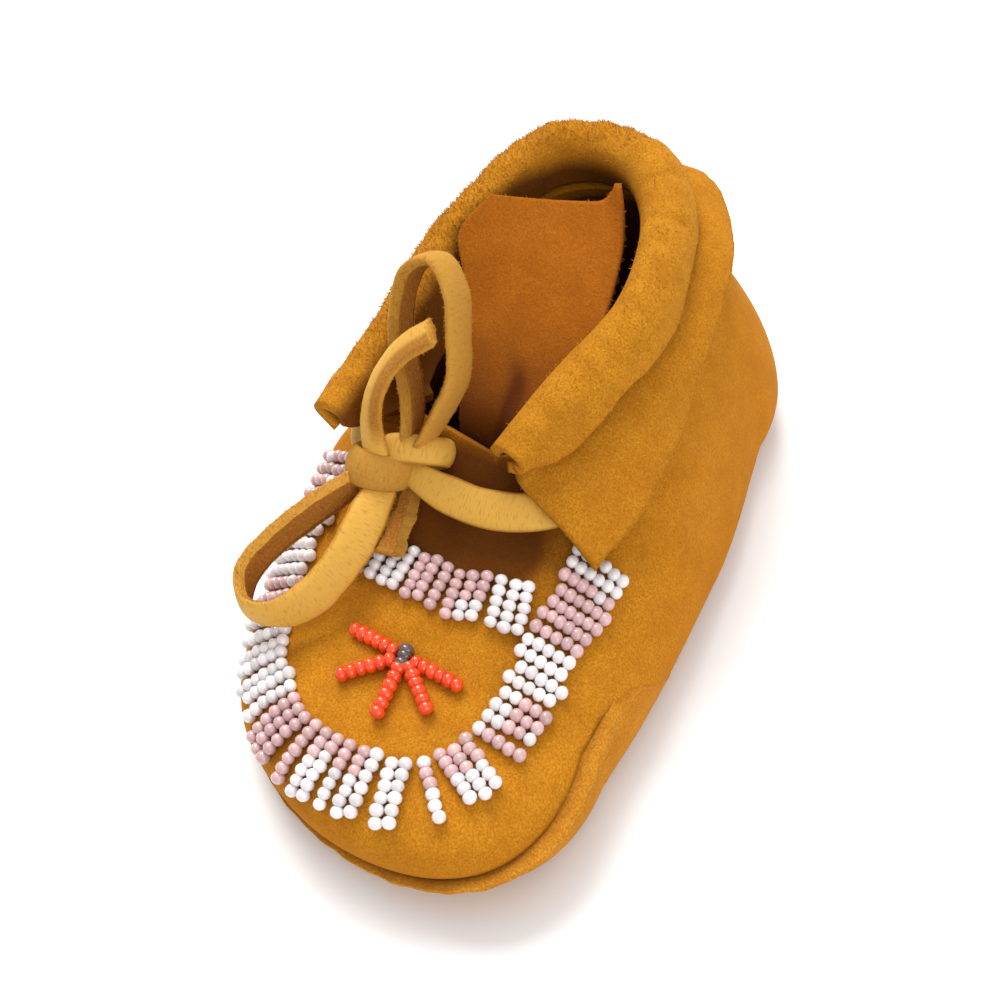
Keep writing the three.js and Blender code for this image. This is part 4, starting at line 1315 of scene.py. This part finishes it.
@dataclass(frozen=True)
class Tongue:
    """Loose tongue that leans back into the opening, its top corner curled."""

    thick: float = 1.4
    curl: float = 3.2
    steps: int = 75
    across_steps: int = 44
    front: Point = (0.2, -0.6, 0.6)
    # The crease starts at this share across and, like the curled corner's edge, slants on its way up.
    crease_from: float = 0.82
    crease_depth: float = 0.3
    slant: float = 1.3
    nap: Nap = Nap(0.5, 0.06, 4.0, 31)
    # Outer edge x, y, z, inner edge x, y, z and the hollow between them.
    rows: Table = (
        (-8.4, -1.4, 25.8, 0.4, -1.4, 26.2, -0.4),
        (-9.4, 1.1, 31.9, 0.6, 1.1, 32.1, 0.0),
        (-12, 7, 36.8, 5.6, 9.5, 35.8, 0.5),
        (-15.2, 14, 42.0, 6, 17, 38.8, 1.0),
        (-18.6, 19, 48.4, 3.6, 28, 42.6, 1.2),
        (-17.4, 26, 50.6, 0.5, 37.3, 46.4, 0.8),
    )

    def build(self, material: Material, nap: Material) -> None:
        """Make the tongue.

        Args:
            material: Its suede.
            nap: Finish of the loose fibres.
        """
        table = np.array(self.rows, float)
        outer, inner = spline(table[:, 0:3], self.steps), spline(table[:, 3:6], self.steps)
        depths = np.column_stack([np.linspace(0, 1, len(table)), table[:, 6]])
        hollow = through(depths, 1)(np.linspace(0, 1, self.steps + 1))
        share = np.linspace(0, 1, self.across_steps + 1)[None]
        # The way along starts where the tongue comes out of the throat.
        along = np.clip(np.linspace(-0.25, 1, self.steps + 1), 0, 1)[:, None]
        grid = outer[:, None] + share[..., None] * (inner - outer)[:, None]
        sag = hollow[:, None] * 4 * share * (1 - share)
        crease = bell(share, self.crease_from - self.slant * along, 0.09) * bell(along, 0.06, 0.18)
        corner = ease(share + self.slant * along, 2.02, 0.28) ** 2
        grid[..., 0] -= 0.6 * self.curl * corner
        grid[..., 1] += 0.5 * sag
        grid[..., 2] += self.curl * corner - sag - self.crease_depth * crease
        edge = np.maximum(along > 0.97, np.maximum(share > 0.97, share < 0.03)) * 1.0
        # Painted shade at the base and in the crease; the tone also deepens towards the base.
        shade = np.clip(np.maximum(0.75 * (1 - along / 0.5), 0) + 0.8 * crease, 0, 0.9)
        sheet = Surface.from_grid(grid, smoke=0.95 - 0.35 * along, nap=0.06 + 0.5 * edge, shade=shade)
        form = sheet.facing(np.array(self.front)).thicken(self.thick)
        dress(form.piece("hide_tongue", material), Slot.SUEDE, "tongue")
        dress(self.nap.grow("tongue_nap", form, nap), Slot.SUEDE)


@dataclass(frozen=True)
class Wrap:
    """One turn of the thong round the knot: its middle, axis, half-width, half-depth and the thong's width."""

    centre: Point
    axis: Point
    wide: float
    deep: float
    band: float
    # Direction in plan that the turn's wider way is square to.
    ahead: Point = (0.43, -0.9, 0.0)

    def shape(self, thick: float) -> Surface:
        """Shape the turn.

        Args:
            thick: Thickness of the hide.

        Returns:
            The turn as a closed form.
        """
        axis = unit(np.array(self.axis, float))
        first = unit(np.cross(axis, self.ahead))
        second = np.cross(axis, first)
        angle = np.linspace(0, 2 * np.pi, 72, endpoint=False)
        cos, sin = np.cos(angle)[:, None], np.sin(angle)[:, None]
        ring = cos * self.wide * first + sin * self.deep * second
        out = unit(cos * first / self.wide + sin * second / self.deep)
        places = np.array([-1, -0.92, -0.6, -0.2, 0.2, 0.6, 0.92, 1.0])
        edge = np.abs(places) > 0.97
        # The turn runs a little askew, and its middle stands out over its edges.
        skew = 0.5 * np.sin(angle + 0.6)[:, None, None] * axis
        rise = 0.45 * (1 - places**2) - np.where(edge, 0.25, 0)
        over = places * self.band / 2
        grid = np.array(self.centre) + ring[:, None] + skew + over[:, None] * axis + rise[:, None] * out[:, None]
        along = angle[:, None] * (self.wide + self.deep) / 2
        sheet = Surface.from_grid(grid, wrap=True, along=along, over=over, cut=edge * 1.0)
        return sheet.facing(np.repeat(out, len(places), axis=0)).thicken(thick)


@dataclass(frozen=True)
class Thong:
    """Hide thong round the ankle, tied in a bow at the instep."""

    last: Last
    width: float = 4.6
    end_width: float = 3.6
    thick: float = 1.3
    stout: float = 1.7
    gap: float = 0.3
    ragged: float = 0.2
    nap: Nap = Nap(0.4, 0.06, 11.0, 31)
    knot: Point = (-12.9, -11.3, 30.4)
    left_wrap: Wrap = Wrap((-14.6, -13.3, 30.4), (-0.05, 0.66, 0.75), 4.0, 2.8, 4.2)
    right_wrap: Wrap = Wrap((-10.6, -9.2, 31.4), (-0.3, 0.86, 0.4), 4.3, 2.5, 3.0)
    # How much grain shows on the upper strand and on the left turn, and from where on the upper end shows its suede.
    upper_grain: float = 0.5
    left_grain: float = 0.45
    turned_from: float = 65.0
    # Waves of the cut on the left and the right edge, and of the ragged end.
    cut_waves: tuple[tuple[Wave, ...], ...] = (
        ((0.035, 7, 0.2), (0.02, 19, 0.6)),
        ((0.035, 6, 0.7), (0.02, 23, 0.1)),
    )
    torn_waves: tuple[tuple[Wave, ...], ...] = (
        ((0.5, 1.7, 0.1), (0.3, 4.3, 0.4), (0.15, 9.1, 0.3)),
        ((0.5, 2.3, 0.5), (0.3, 5.9, 0.2), (0.15, 11.3, 0.8)),
    )
    # Each row is a point of the middle line and the direction across the thong.
    run_inner: Table = (
        (-11.4, -11.4, 30.2, 0.1, 0.78, 0.61), (-7.5, -12.5, 29.8, 0.1, 0.78, 0.61),
        (-2.9, -12.9, 29.2, 0, 0.79, 0.61), (2.1, -12.6, 28.8, -0.1, 0.79, 0.6),
        (7, -11.3, 28.9, -0.3, 0.75, 0.56), (10.8, -8.8, 29, -0.5, 0.64, 0.56),
        (14.4, -4.7, 29.2, -0.62, 0.52, 0.58),
    )
    run_outer: Table = (
        (-22.9, -5.4, 30.5, 0.5, 0.6, 0.62), (-21, -8.8, 31.2, 0.42, 0.6, 0.66),
        (-18.8, -11.4, 30.4, 0.2, 0.7, 0.66),
    )
    # Turn round the ankle and height of the thong's middle.
    ring: Table = (
        (48, 29.2), (70, 30.4), (100, 33.4), (130, 36.4), (160, 37.4), (200, 37.6), (250, 36.2), (285, 33.4),
        (318, 29.8),
    )
    loop_upper: Table = tuple(
        (*point, -0.05, -0.87, 0.49)
        for point in (
            (-9.5, -9, 33.6), (-7.2, -5.8, 38.6), (-6, -3, 42.8), (-6.8, -0.1, 47.9), (-8.5, 3.1, 53.4),
            (-12.1, 5, 56.2), (-15.5, 4.1, 54.4), (-16.6, 1.3, 49.5), (-15.7, -1.5, 44.4), (-13.3, -4.3, 40.1),
            (-11.9, -6.6, 37.2), (-11.3, -9, 34),
        )
    )
    # Each end begins inside the knot.
    end_lower: Table = (
        (-11.4, -11.4, 29.8, -0.6, -0.65, 0.3), (-10.6, -13.8, 26.3, -0.94, -0.34, 0.02),
        (-9.3, -18.4, 25.6, -0.94, -0.34, 0.02), (-8.2, -23.2, 24.7, -0.94, -0.34, 0.02),
    )
    loop_lower: Table = (
        (-16.4, -15.6, 29.6, -0.1, 0, 0.99), (-18.2, -19.8, 28.9, -0.1, 0, 0.99),
        (-21, -23.7, 27.2, -0.1, 0, 0.99), (-24.4, -28.9, 24.6, -0.15, -0.1, 0.98),
        (-26, -34.2, 22.2, -0.17, -0.2, 0.97), (-23.7, -38.3, 20.8, 0.13, -0.08, 0.99),
        (-18.7, -37.4, 20.8, -0.21, -0.04, 0.98), (-14.9, -33, 22, -0.71, -0.15, 0.69),
        (-12.6, -25.8, 25.6, -0.8, -0.45, 0.4), (-12.6, -20.2, 28, -0.79, -0.49, 0.37),
        (-13.2, -16.3, 28.8, -0.79, -0.49, 0.37),
    )
    end_upper: Table = (
        (-13.9, -13.9, 30.6, -0.95, -0.25, 0.15), (-14.7, -13.3, 34.1, -0.98, -0.17, -0.06),
        (-15.2, -12, 38.5, -0.96, 0.25, -0.12), (-14.9, -10.2, 42.6, -0.84, 0.52, -0.13),
        (-13.9, -8.1, 45.6, -0.76, 0.64, -0.09), (-11.8, -5.7, 48.5, -0.66, 0.75, 0.06),
        (-8.1, -3.4, 51.3, -0.6, 0.79, 0.14),
    )

    def strip(
        self, rows: Sequence[Sequence[float]], steps: int, thick: float, ragged: float = 0.0
    ) -> tuple[Surface, np.ndarray]:
        """Shape a flat thong, with its grain on the side of along crossed with across.

        Args:
            rows: Points of the middle line with directions across and widths.
            steps: Steps along it.
            thick: Thickness of the hide.
            ragged: How uneven the last part of the cut is.

        Returns:
            The thong as a closed form, and its middle line.
        """
        course = spline(np.array(rows, float)[:, 0:3], steps)
        tangent = unit(np.gradient(course, axis=0))
        across = spline(np.array(rows, float)[:, 3:6], steps)
        across = unit(across - np.sum(across * tangent, axis=1, keepdims=True) * tangent)
        normal = np.cross(tangent, across)
        walked = walk(course)
        share, ten = walked / walked[-1], walked / 10
        torn = ragged * ease(walked - walked[-1], -13, 6)
        left, right = (
            1 + ripple(share, *even) + torn * ripple(ten, *rough)
            for even, rough in zip(self.cut_waves, self.torn_waves)
        )
        places = np.array([-1, -0.94, -0.7, -0.4, 0, 0.4, 0.7, 0.94, 1.0])
        edge = np.abs(places) > 0.97
        half = spline(np.array(rows, float), steps)[:, 6:7] / 2
        over = np.where(places < 0, left[:, None], right[:, None]) * places * half
        rise = 0.25 * (1 - places**2) - 0.22 * edge
        grid = course[:, None] + across[:, None] * over[..., None] + normal[:, None] * rise[:, None]
        ends = np.isin(walked, walked[[0, -1]])
        cut = np.maximum(edge * 1.0, ends[:, None])
        sheet = Surface.from_grid(grid, along=walked[:, None], over=over, cut=cut)
        return sheet.facing(np.repeat(normal, len(places), axis=0)).thicken(thick), course

    def ankle_rows(self) -> list[tuple[float, ...]]:
        """Run the thong round the ankle.

        Returns:
            Its rows, with both runs to the knot.
        """
        offset = self.thick / 2 + self.gap + 0.25
        height = through(self.ring, 1)
        rows = list(self.run_inner)
        for turn in range(int(self.ring[0][0]), int(self.ring[-1][0]) + 1, 10):
            z = float(height(turn))
            middle = self.last.on_ankle(turn, z, offset)
            rows.append((*middle, *unit(self.last.on_ankle(turn, z + 2.4, offset) - middle)))
        return rows + list(self.run_outer)

    def sized(self, rows: Sequence[Sequence[float]], width: float) -> list[tuple[float, ...]]:
        """Add the width to each row, drawn in where the thong goes into the knot."""
        return [(*row, width * (0.72 + 0.28 * float(ease(math.dist(row[:3], self.knot), 4.5, 6)))) for row in rows]

    def build(self, material: Material, nap: Material) -> None:
        """Make the thong's pieces, with its two free strands.

        Args:
            material: Finish of the thong.
            nap: Finish of the loose fibres on its cut edges.
        """
        ankle = self.strip(self.sized(self.ankle_rows(), self.width), 260, self.thick)[0]
        upper_rows = self.sized(self.loop_upper, self.width) + self.sized(self.end_lower, self.end_width)
        lower_rows = self.sized(self.loop_lower, self.width) + self.sized(self.end_upper, self.end_width)
        upper, upper_line = self.strip(upper_rows, 190, self.stout, self.ragged)
        lower, lower_line = self.strip(lower_rows, 210, self.stout)
        left, right = self.left_wrap.shape(self.stout), self.right_wrap.shape(self.stout)
        turned = ease(lower.marks["along"], self.turned_from, 4) * ease(lower.marks["over"], 0.1, -0.8)
        lower.marks["face"] *= 1 - 0.85 * turned
        upper.marks["face"] *= self.upper_grain
        left.marks["face"] *= self.left_grain
        both = upper.joined(lower)
        both.marks["nap"] = both.marks["cut"]
        dress(left.joined(right).piece("thong_knot_turns", material), Slot.THONG, "thong_knot")
        dress(ankle.piece("thong_round_ankle", material), Slot.THONG, "thong_ankle")
        first, second = upper.piece("thong_strand_upper", material), lower.piece("thong_strand_lower", material)
        dress(first, Slot.THONG, "thong_loop_upper", "thong_end_lower")
        dress(second, Slot.THONG, "thong_loop_lower", "thong_end_upper")
        dress(self.nap.grow("thong_nap", both, nap), Slot.THONG)


WHITE, PINK = BeadTone.WHITE, BeadTone.PINK
Zone = tuple[float, BeadTone, BeadTone]


@dataclass(frozen=True)
class Beads:
    """Beads set out for sewing: places in plan, directions of their rows and tones."""

    plan: list[np.ndarray] = field(default_factory=list)
    row: list[Point] = field(default_factory=list)
    tone: list[float] = field(default_factory=list)

    def add(self, place: np.ndarray, way: np.ndarray, tone: BeadTone) -> None:
        """Set out one more bead.

        Args:
            place: Its place in plan.
            way: Direction of its row.
            tone: Its colour.
        """
        self.plan.append(place)
        self.row.append((*way, 0.0))
        self.tone.append(tone.mark)


@dataclass(frozen=True)
class Beadwork:
    """Seed beads sewn in short rows across the border and the cross band, and the flower."""

    last: Last
    # Diameter of the beads, and length of a bead along its row.
    diameter: float = 2.08
    border_length: float = 1.88
    cross_length: float = 1.8
    petal_diameter: float = 2.4
    petal_length: float = 1.9
    # Steps of the beads along a row and of the rows along a band, with the gap between two bunches of rows.
    pitch: float = 1.5
    spacing: float = 1.96
    parting: float = 0.12
    bunches: tuple[int, ...] = (2, 1, 3, 1, 2, 2, 1)
    shortest_row: int = 5
    seed: int = 7
    # How far a row slips and a bead strays, share of odd beads, depth of the stitch, and spreads of bead and tint.
    slip: float = 0.28
    stray: float = 0.07
    odd_share: float = 0.06
    sewn_in: float = 0.06
    tilt_spread: float = 0.05
    size_spread: float = 0.03
    tint: tuple[float, float] = (0.97, 0.08)
    # Middle line in plan and width of the border and of the cross band.
    border: Table = (
        (19.6, -8.8, 8.2), (19.4, -21.5, 8.0), (19.3, -32, 8.0), (18.8, -42, 8.4), (13.6, -50, 9.2),
        (4.2, -52.4, 9.4), (-6.5, -51.3, 8.8), (-15.1, -46.1, 8.0), (-21.9, -38.2, 7.6), (-24.7, -29, 7.4),
        (-25.4, -18, 7.6), (-24.9, -8, 7.9),
    )
    cross: Table = ((14.4, -20.4, 7.8), (5, -22.4, 7.4), (-5, -22.6, 6.9), (-19.6, -20.6, 6.6))
    # Share of the band up to which a zone goes, tone of its inner and of its outer half.
    border_zones: tuple[Zone, ...] = (
        (0.03, WHITE, WHITE), (0.12, PINK, PINK), (0.2, WHITE, WHITE), (0.24, WHITE, PINK), (0.29, PINK, PINK),
        (0.36, PINK, WHITE), (0.45, WHITE, WHITE), (0.54, PINK, WHITE), (0.61, PINK, PINK),
        (0.76, WHITE, WHITE), (0.82, PINK, PINK), (0.93, WHITE, WHITE), (1.01, PINK, PINK),
    )
    cross_zones: tuple[Zone, ...] = (
        (0.2, WHITE, WHITE), (0.3, PINK, WHITE), (0.56, PINK, PINK), (0.86, WHITE, WHITE), (1.01, PINK, PINK),
    )
    flower: tuple[float, float] = (1.2, -34.0)
    petal_turns: tuple[float, ...] = (175, 223, 279, 323, 357)
    petal_radii: tuple[float, ...] = (2.1, 3.5, 4.9, 6.3, 7.7, 9.1)
    centre_way: tuple[float, float] = (-0.25, 0.95)
    centre_steps: tuple[float, ...] = (1.3, 0.0, -1.3)

    def band(self, rows: Table, zones: tuple[Zone, ...]) -> Beads:
        """Set out the beads of a band in rows that lie against each other on its inner edge.

        Args:
            rows: Middle line of the band in plan, with its width.
            zones: Tones along the band.

        Returns:
            The beads.
        """
        course = spline(rows, 1600)
        line, width = course[:, :2], course[:, 2:] - 0.2
        tangent = unit(np.gradient(line, axis=0))
        side = np.stack([-tangent[:, 1], tangent[:, 0]], axis=-1)
        left, right = (self.last.on_vamp(*(line + s * side * width / 2).T)[0] for s in (1, -1))
        walked = walk(line)
        # Rows that are sewn down together lie even; the band's curve opens gaps between the bunches.
        first = int(np.searchsorted(walked, self.diameter))
        middles = [(first, self.bunches[0])]
        for i in range(first, len(line) - first):
            k, rows_there = middles[-1]
            rows_here = self.bunches[len(middles) % len(self.bunches)]
            apart = min(np.linalg.norm(left[i] - left[k]), np.linalg.norm(right[i] - right[k]))
            if apart >= self.spacing * (rows_there + rows_here) / 2 + self.parting:
                middles.append((i, rows_here))
        chance = np.random.default_rng(self.seed + self.shortest_row)
        reach = np.linspace(-0.5, 0.5, 25)
        beads = Beads()
        for i, step in ((i, (n - (count - 1) / 2) * self.spacing) for i, count in middles for n in range(count)):
            share = np.clip((walked[i] + step) / walked[-1], 0, 1)
            _, inner, outer = next(zone for zone in zones if share < zone[0])
            slip = chance.normal(0, self.slip)
            middle = line[i] + step * tangent[i]
            # Beads lie at even steps over the hide, so a steep row takes more of them.
            arc = walk(self.last.on_vamp(*(middle + reach[:, None] * width[i] * side[i]).T)[0])
            number = max(self.shortest_row, round(arc[-1] / self.pitch))
            for b in range(number):
                place = np.interp((b + 0.5) / number * arc[-1], arc, reach)
                plan = middle + side[i] * (place * width[i] + slip) + tangent[i] * chance.normal(0, self.stray)
                # Now and then a white bead is among the pink ones.
                odd = chance.random() < self.odd_share
                tone = outer if place > 0 else inner
                beads.add(plan, side[i], WHITE if odd and tone is PINK else tone)
        return beads

    def petals(self) -> Beads:
        """Set out the flower.

        Returns:
            The beads of its petals and of its centre.
        """
        beads, centre = Beads(), np.array(self.flower)
        for turn in self.petal_turns:
            way = np.array([math.cos(math.radians(turn)), math.sin(math.radians(turn))])
            for radius in self.petal_radii:
                beads.add(centre + way * radius, way, BeadTone.RED)
        for step in self.centre_steps:
            beads.add(centre + np.array(self.centre_way) * step, self.centre_way, BeadTone.DARK)
        return beads

    def sew(self, name: str, beads: Beads, broad: float, length: float, glass: Material) -> Piece:
        """Make the beads of one piece of beadwork.

        Args:
            name: Name of the piece.
            beads: The beads, set out in plan.
            broad: Diameter of a bead.
            length: Length of a bead along its row.
            glass: Finish of the beads.

        Returns:
            The beads as one piece.
        """
        chance = np.random.default_rng(self.seed)
        plan, way = np.array(beads.plan), np.array(beads.row)
        count = len(plan)
        point, normal = self.last.on_vamp(plan[:, 0], plan[:, 1])
        row = unit(way - np.sum(way * normal, axis=1, keepdims=True) * normal)
        row = unit(row + chance.normal(0, self.tilt_spread, (count, 3)))
        size = chance.normal(1.0, self.size_spread, count)
        marks = {"size": size, "tone": np.array(beads.tone), "tint": chance.normal(*self.tint, count)}
        for axis, letter in enumerate("xyz"):
            marks["row_" + letter], marks["up_" + letter] = row[:, axis], normal[:, axis]
        made = Surface(point + normal * (broad / 2 - self.sewn_in), [], marks).piece(name)
        form = NodeForm(name)
        diameter = form.named("Bead Diameter", "Float", broad * MM)
        long = form.named("Bead Length", "Float", length * MM)
        finish = form.named("Finish", "Material", glass)
        scale = add_node(form.tree, "ShaderNodeCombineXYZ", {"X": diameter, "Y": diameter, "Z": long})
        ball = add_node(form.tree, "GeometryNodeMeshUVSphere", {"Segments": 10, "Rings": 7, "Radius": 0.5})
        sized = {"Geometry": ball.outputs["Mesh"], "Scale": scale.outputs["Vector"]}
        body = add_node(form.tree, "GeometryNodeTransform", sized)
        smooth = add_node(form.tree, "GeometryNodeSetShadeSmooth", {"Geometry": body.outputs["Geometry"]})
        read = {}
        for mark in ("size", *(way + axis for way in ("row_", "up_") for axis in "xyz")):
            node = add_node(form.tree, "GeometryNodeInputNamedAttribute", {"Name": mark}, data_type="FLOAT")
            read[mark] = node.outputs["Attribute"]
        row_way, up = (
            add_node(form.tree, "ShaderNodeCombineXYZ", {k: read[mark + k.lower()] for k in "XYZ"}).outputs["Vector"]
            for mark in ("row_", "up_")
        )
        axes = {"primary_axis": "Z", "secondary_axis": "X"}
        turned = add_node(form.tree, "FunctionNodeAxesToRotation", {0: row_way, 1: up}, **axes)
        dots = add_node(form.tree, "GeometryNodeMeshToPoints", {"Mesh": form.source.outputs["Geometry"]})
        placed = {
            "Points": dots.outputs["Points"],
            "Instance": smooth.outputs["Geometry"],
            "Rotation": turned.outputs["Rotation"],
            "Scale": read["size"],
        }
        return form.run(made, placed, finish)

    def build(self, glass: Material) -> None:
        """Make the border, the cross band and the flower.

        Args:
            glass: Finish of the beads.
        """
        border, cross = self.band(self.border, self.border_zones), self.band(self.cross, self.cross_zones)
        sewn = (
            ("bead_rows_border", border, self.diameter, self.border_length, Slot.PALE, "bead_border"),
            ("bead_rows_cross", cross, self.diameter, self.cross_length, Slot.PALE, "bead_crossband"),
            ("bead_petals", self.petals(), self.petal_diameter, self.petal_length, Slot.RED, "bead_flower"),
        )
        for name, beads, broad, length, slot, node in sewn:
            dress(self.sew(name, beads, broad, length, glass), slot, node)


@dataclass(frozen=True)
class Light:
    """A square soft light: place and side in metres, power in watts."""

    name: str
    at: Point
    size: float
    power: float
    colour: str

    def hang(self) -> None:
        """Hang the light so that it faces the shoe."""
        data = bpy.data.lights.new(self.name, "AREA")
        data.size, data.energy, data.color = self.size, self.power, linear(self.colour)[:3]
        made = bpy.data.objects.new(self.name, data)
        made.location = self.at
        made.rotation_mode = "QUATERNION"
        made.rotation_quaternion = (Vector((0, 0, 0.02)) - Vector(self.at)).to_track_quat("-Z", "Y")
        bpy.context.scene.collection.objects.link(made)


@dataclass(frozen=True)
class Studio:
    """Pale floor, soft light and the camera over the shoe's toe."""

    place: Point = (86.9, -111.0, 182.0)
    aim: Point = (-2.0, -3.0, 18.0)
    # Turn of the camera before it is aimed, which sets its roll.
    pitch: float = 45.5
    yaw: float = 25.6
    sensor: float = 36.0
    focal_share: float = 1.4
    floor: str = "#eff2f5"
    floor_radius: float = 4000.0
    air: str = "#f6f4f4"
    air_strength: float = 0.55
    lights: tuple[Light, ...] = (
        Light("window", (-0.6, 0.62, 1.1), 0.8, 22.0, "#fffaf4"),
        Light("overhead", (0.1, 0.1, 1.5), 1.3, 6.0, "#ffffff"),
        Light("fill", (0.95, -0.5, 0.5), 0.9, 7.0, "#fff8f2"),
    )

    def camera(self) -> None:
        """Set the camera up at the picture's angle."""
        data = bpy.data.cameras.new("camera")
        data.sensor_width, data.lens = self.sensor, self.sensor * self.focal_share
        data.clip_start, data.clip_end = 0.01, 20.0
        made = bpy.data.objects.new("camera", data)
        bpy.context.scene.collection.objects.link(made)
        level = Euler((math.radians(90 - self.pitch), 0, math.radians(self.yaw))).to_quaternion()
        ahead = level @ Vector((0, 0, -1))
        towards = (Vector(self.aim) - Vector(self.place)).normalized()
        made.location = Vector((self.place + PLAN_SHIFT) * MM)
        made.rotation_mode = "QUATERNION"
        made.rotation_quaternion = ahead.rotation_difference(towards) @ level
        bpy.context.scene.camera = made

    def ground(self) -> None:
        """Lay the floor."""
        turns = np.linspace(0, 2 * math.pi, 48, endpoint=False)
        ring = np.stack([np.cos(turns), np.sin(turns), np.zeros(len(turns))], axis=-1) * self.floor_radius
        material, tree, shader = new_material("pale table")
        plug(tree, shader, {"Base Color": linear(self.floor), "Roughness": 0.6, "Specular IOR Level": 0.2})
        Surface(ring, [tuple(range(len(turns)))]).piece("floor", material)

    def build(self) -> None:
        """Set up camera, floor and light."""
        self.camera()
        self.ground()
        for light in self.lights:
            light.hang()
        world = bpy.data.worlds.new("studio air")
        world.use_nodes = True
        background = world.node_tree.nodes["Background"]
        plug(world.node_tree, background, {"Color": linear(self.air), "Strength": self.air_strength})
        bpy.context.scene.world = world
        bpy.context.scene.view_settings.view_transform = "Standard"


def main() -> None:
    """Build the shoe over its frame, piece by piece."""
    logging.basicConfig(level=logging.INFO, format="%(name)s %(message)s")
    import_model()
    last = Last()
    Studio().build()
    thong_hide = ThongHide().build()
    suede = Suede("smoked suede", "#9c5e10", "#bb7a17", "#d2962c", "#b46a0c").build()
    sole_suede = Suede("smoked suede sole", "#a26416", "#c38220", "#dba646", "#b46a0c").build()
    collar_suede = Suede("smoked suede collar", "#995e10", "#bb7c1a", "#d29a30", "#a2600c").build()
    # A darker copy of the suede for the tongue, partly painted shade.
    shaded_tongue_suede = Suede("smoked suede tongue", "#87480a", "#a86013", "#bd7a20", "#98530c").build()
    loose_nap = Suede("loose suede nap", "#a8701a", "#c48a2a", "#d9a444", "#bd8020").build()
    glass = SeedBeads().build()
    Thong(last).build(thong_hide, loose_nap)
    Upper(last).build(suede)
    Sole(last).build(sole_suede)
    Collar(last).build(collar_suede, loose_nap)
    Tongue().build(shaded_tongue_suede, loose_nap)
    Beadwork(last).build(glass)


if __name__ == "__main__":
    main()
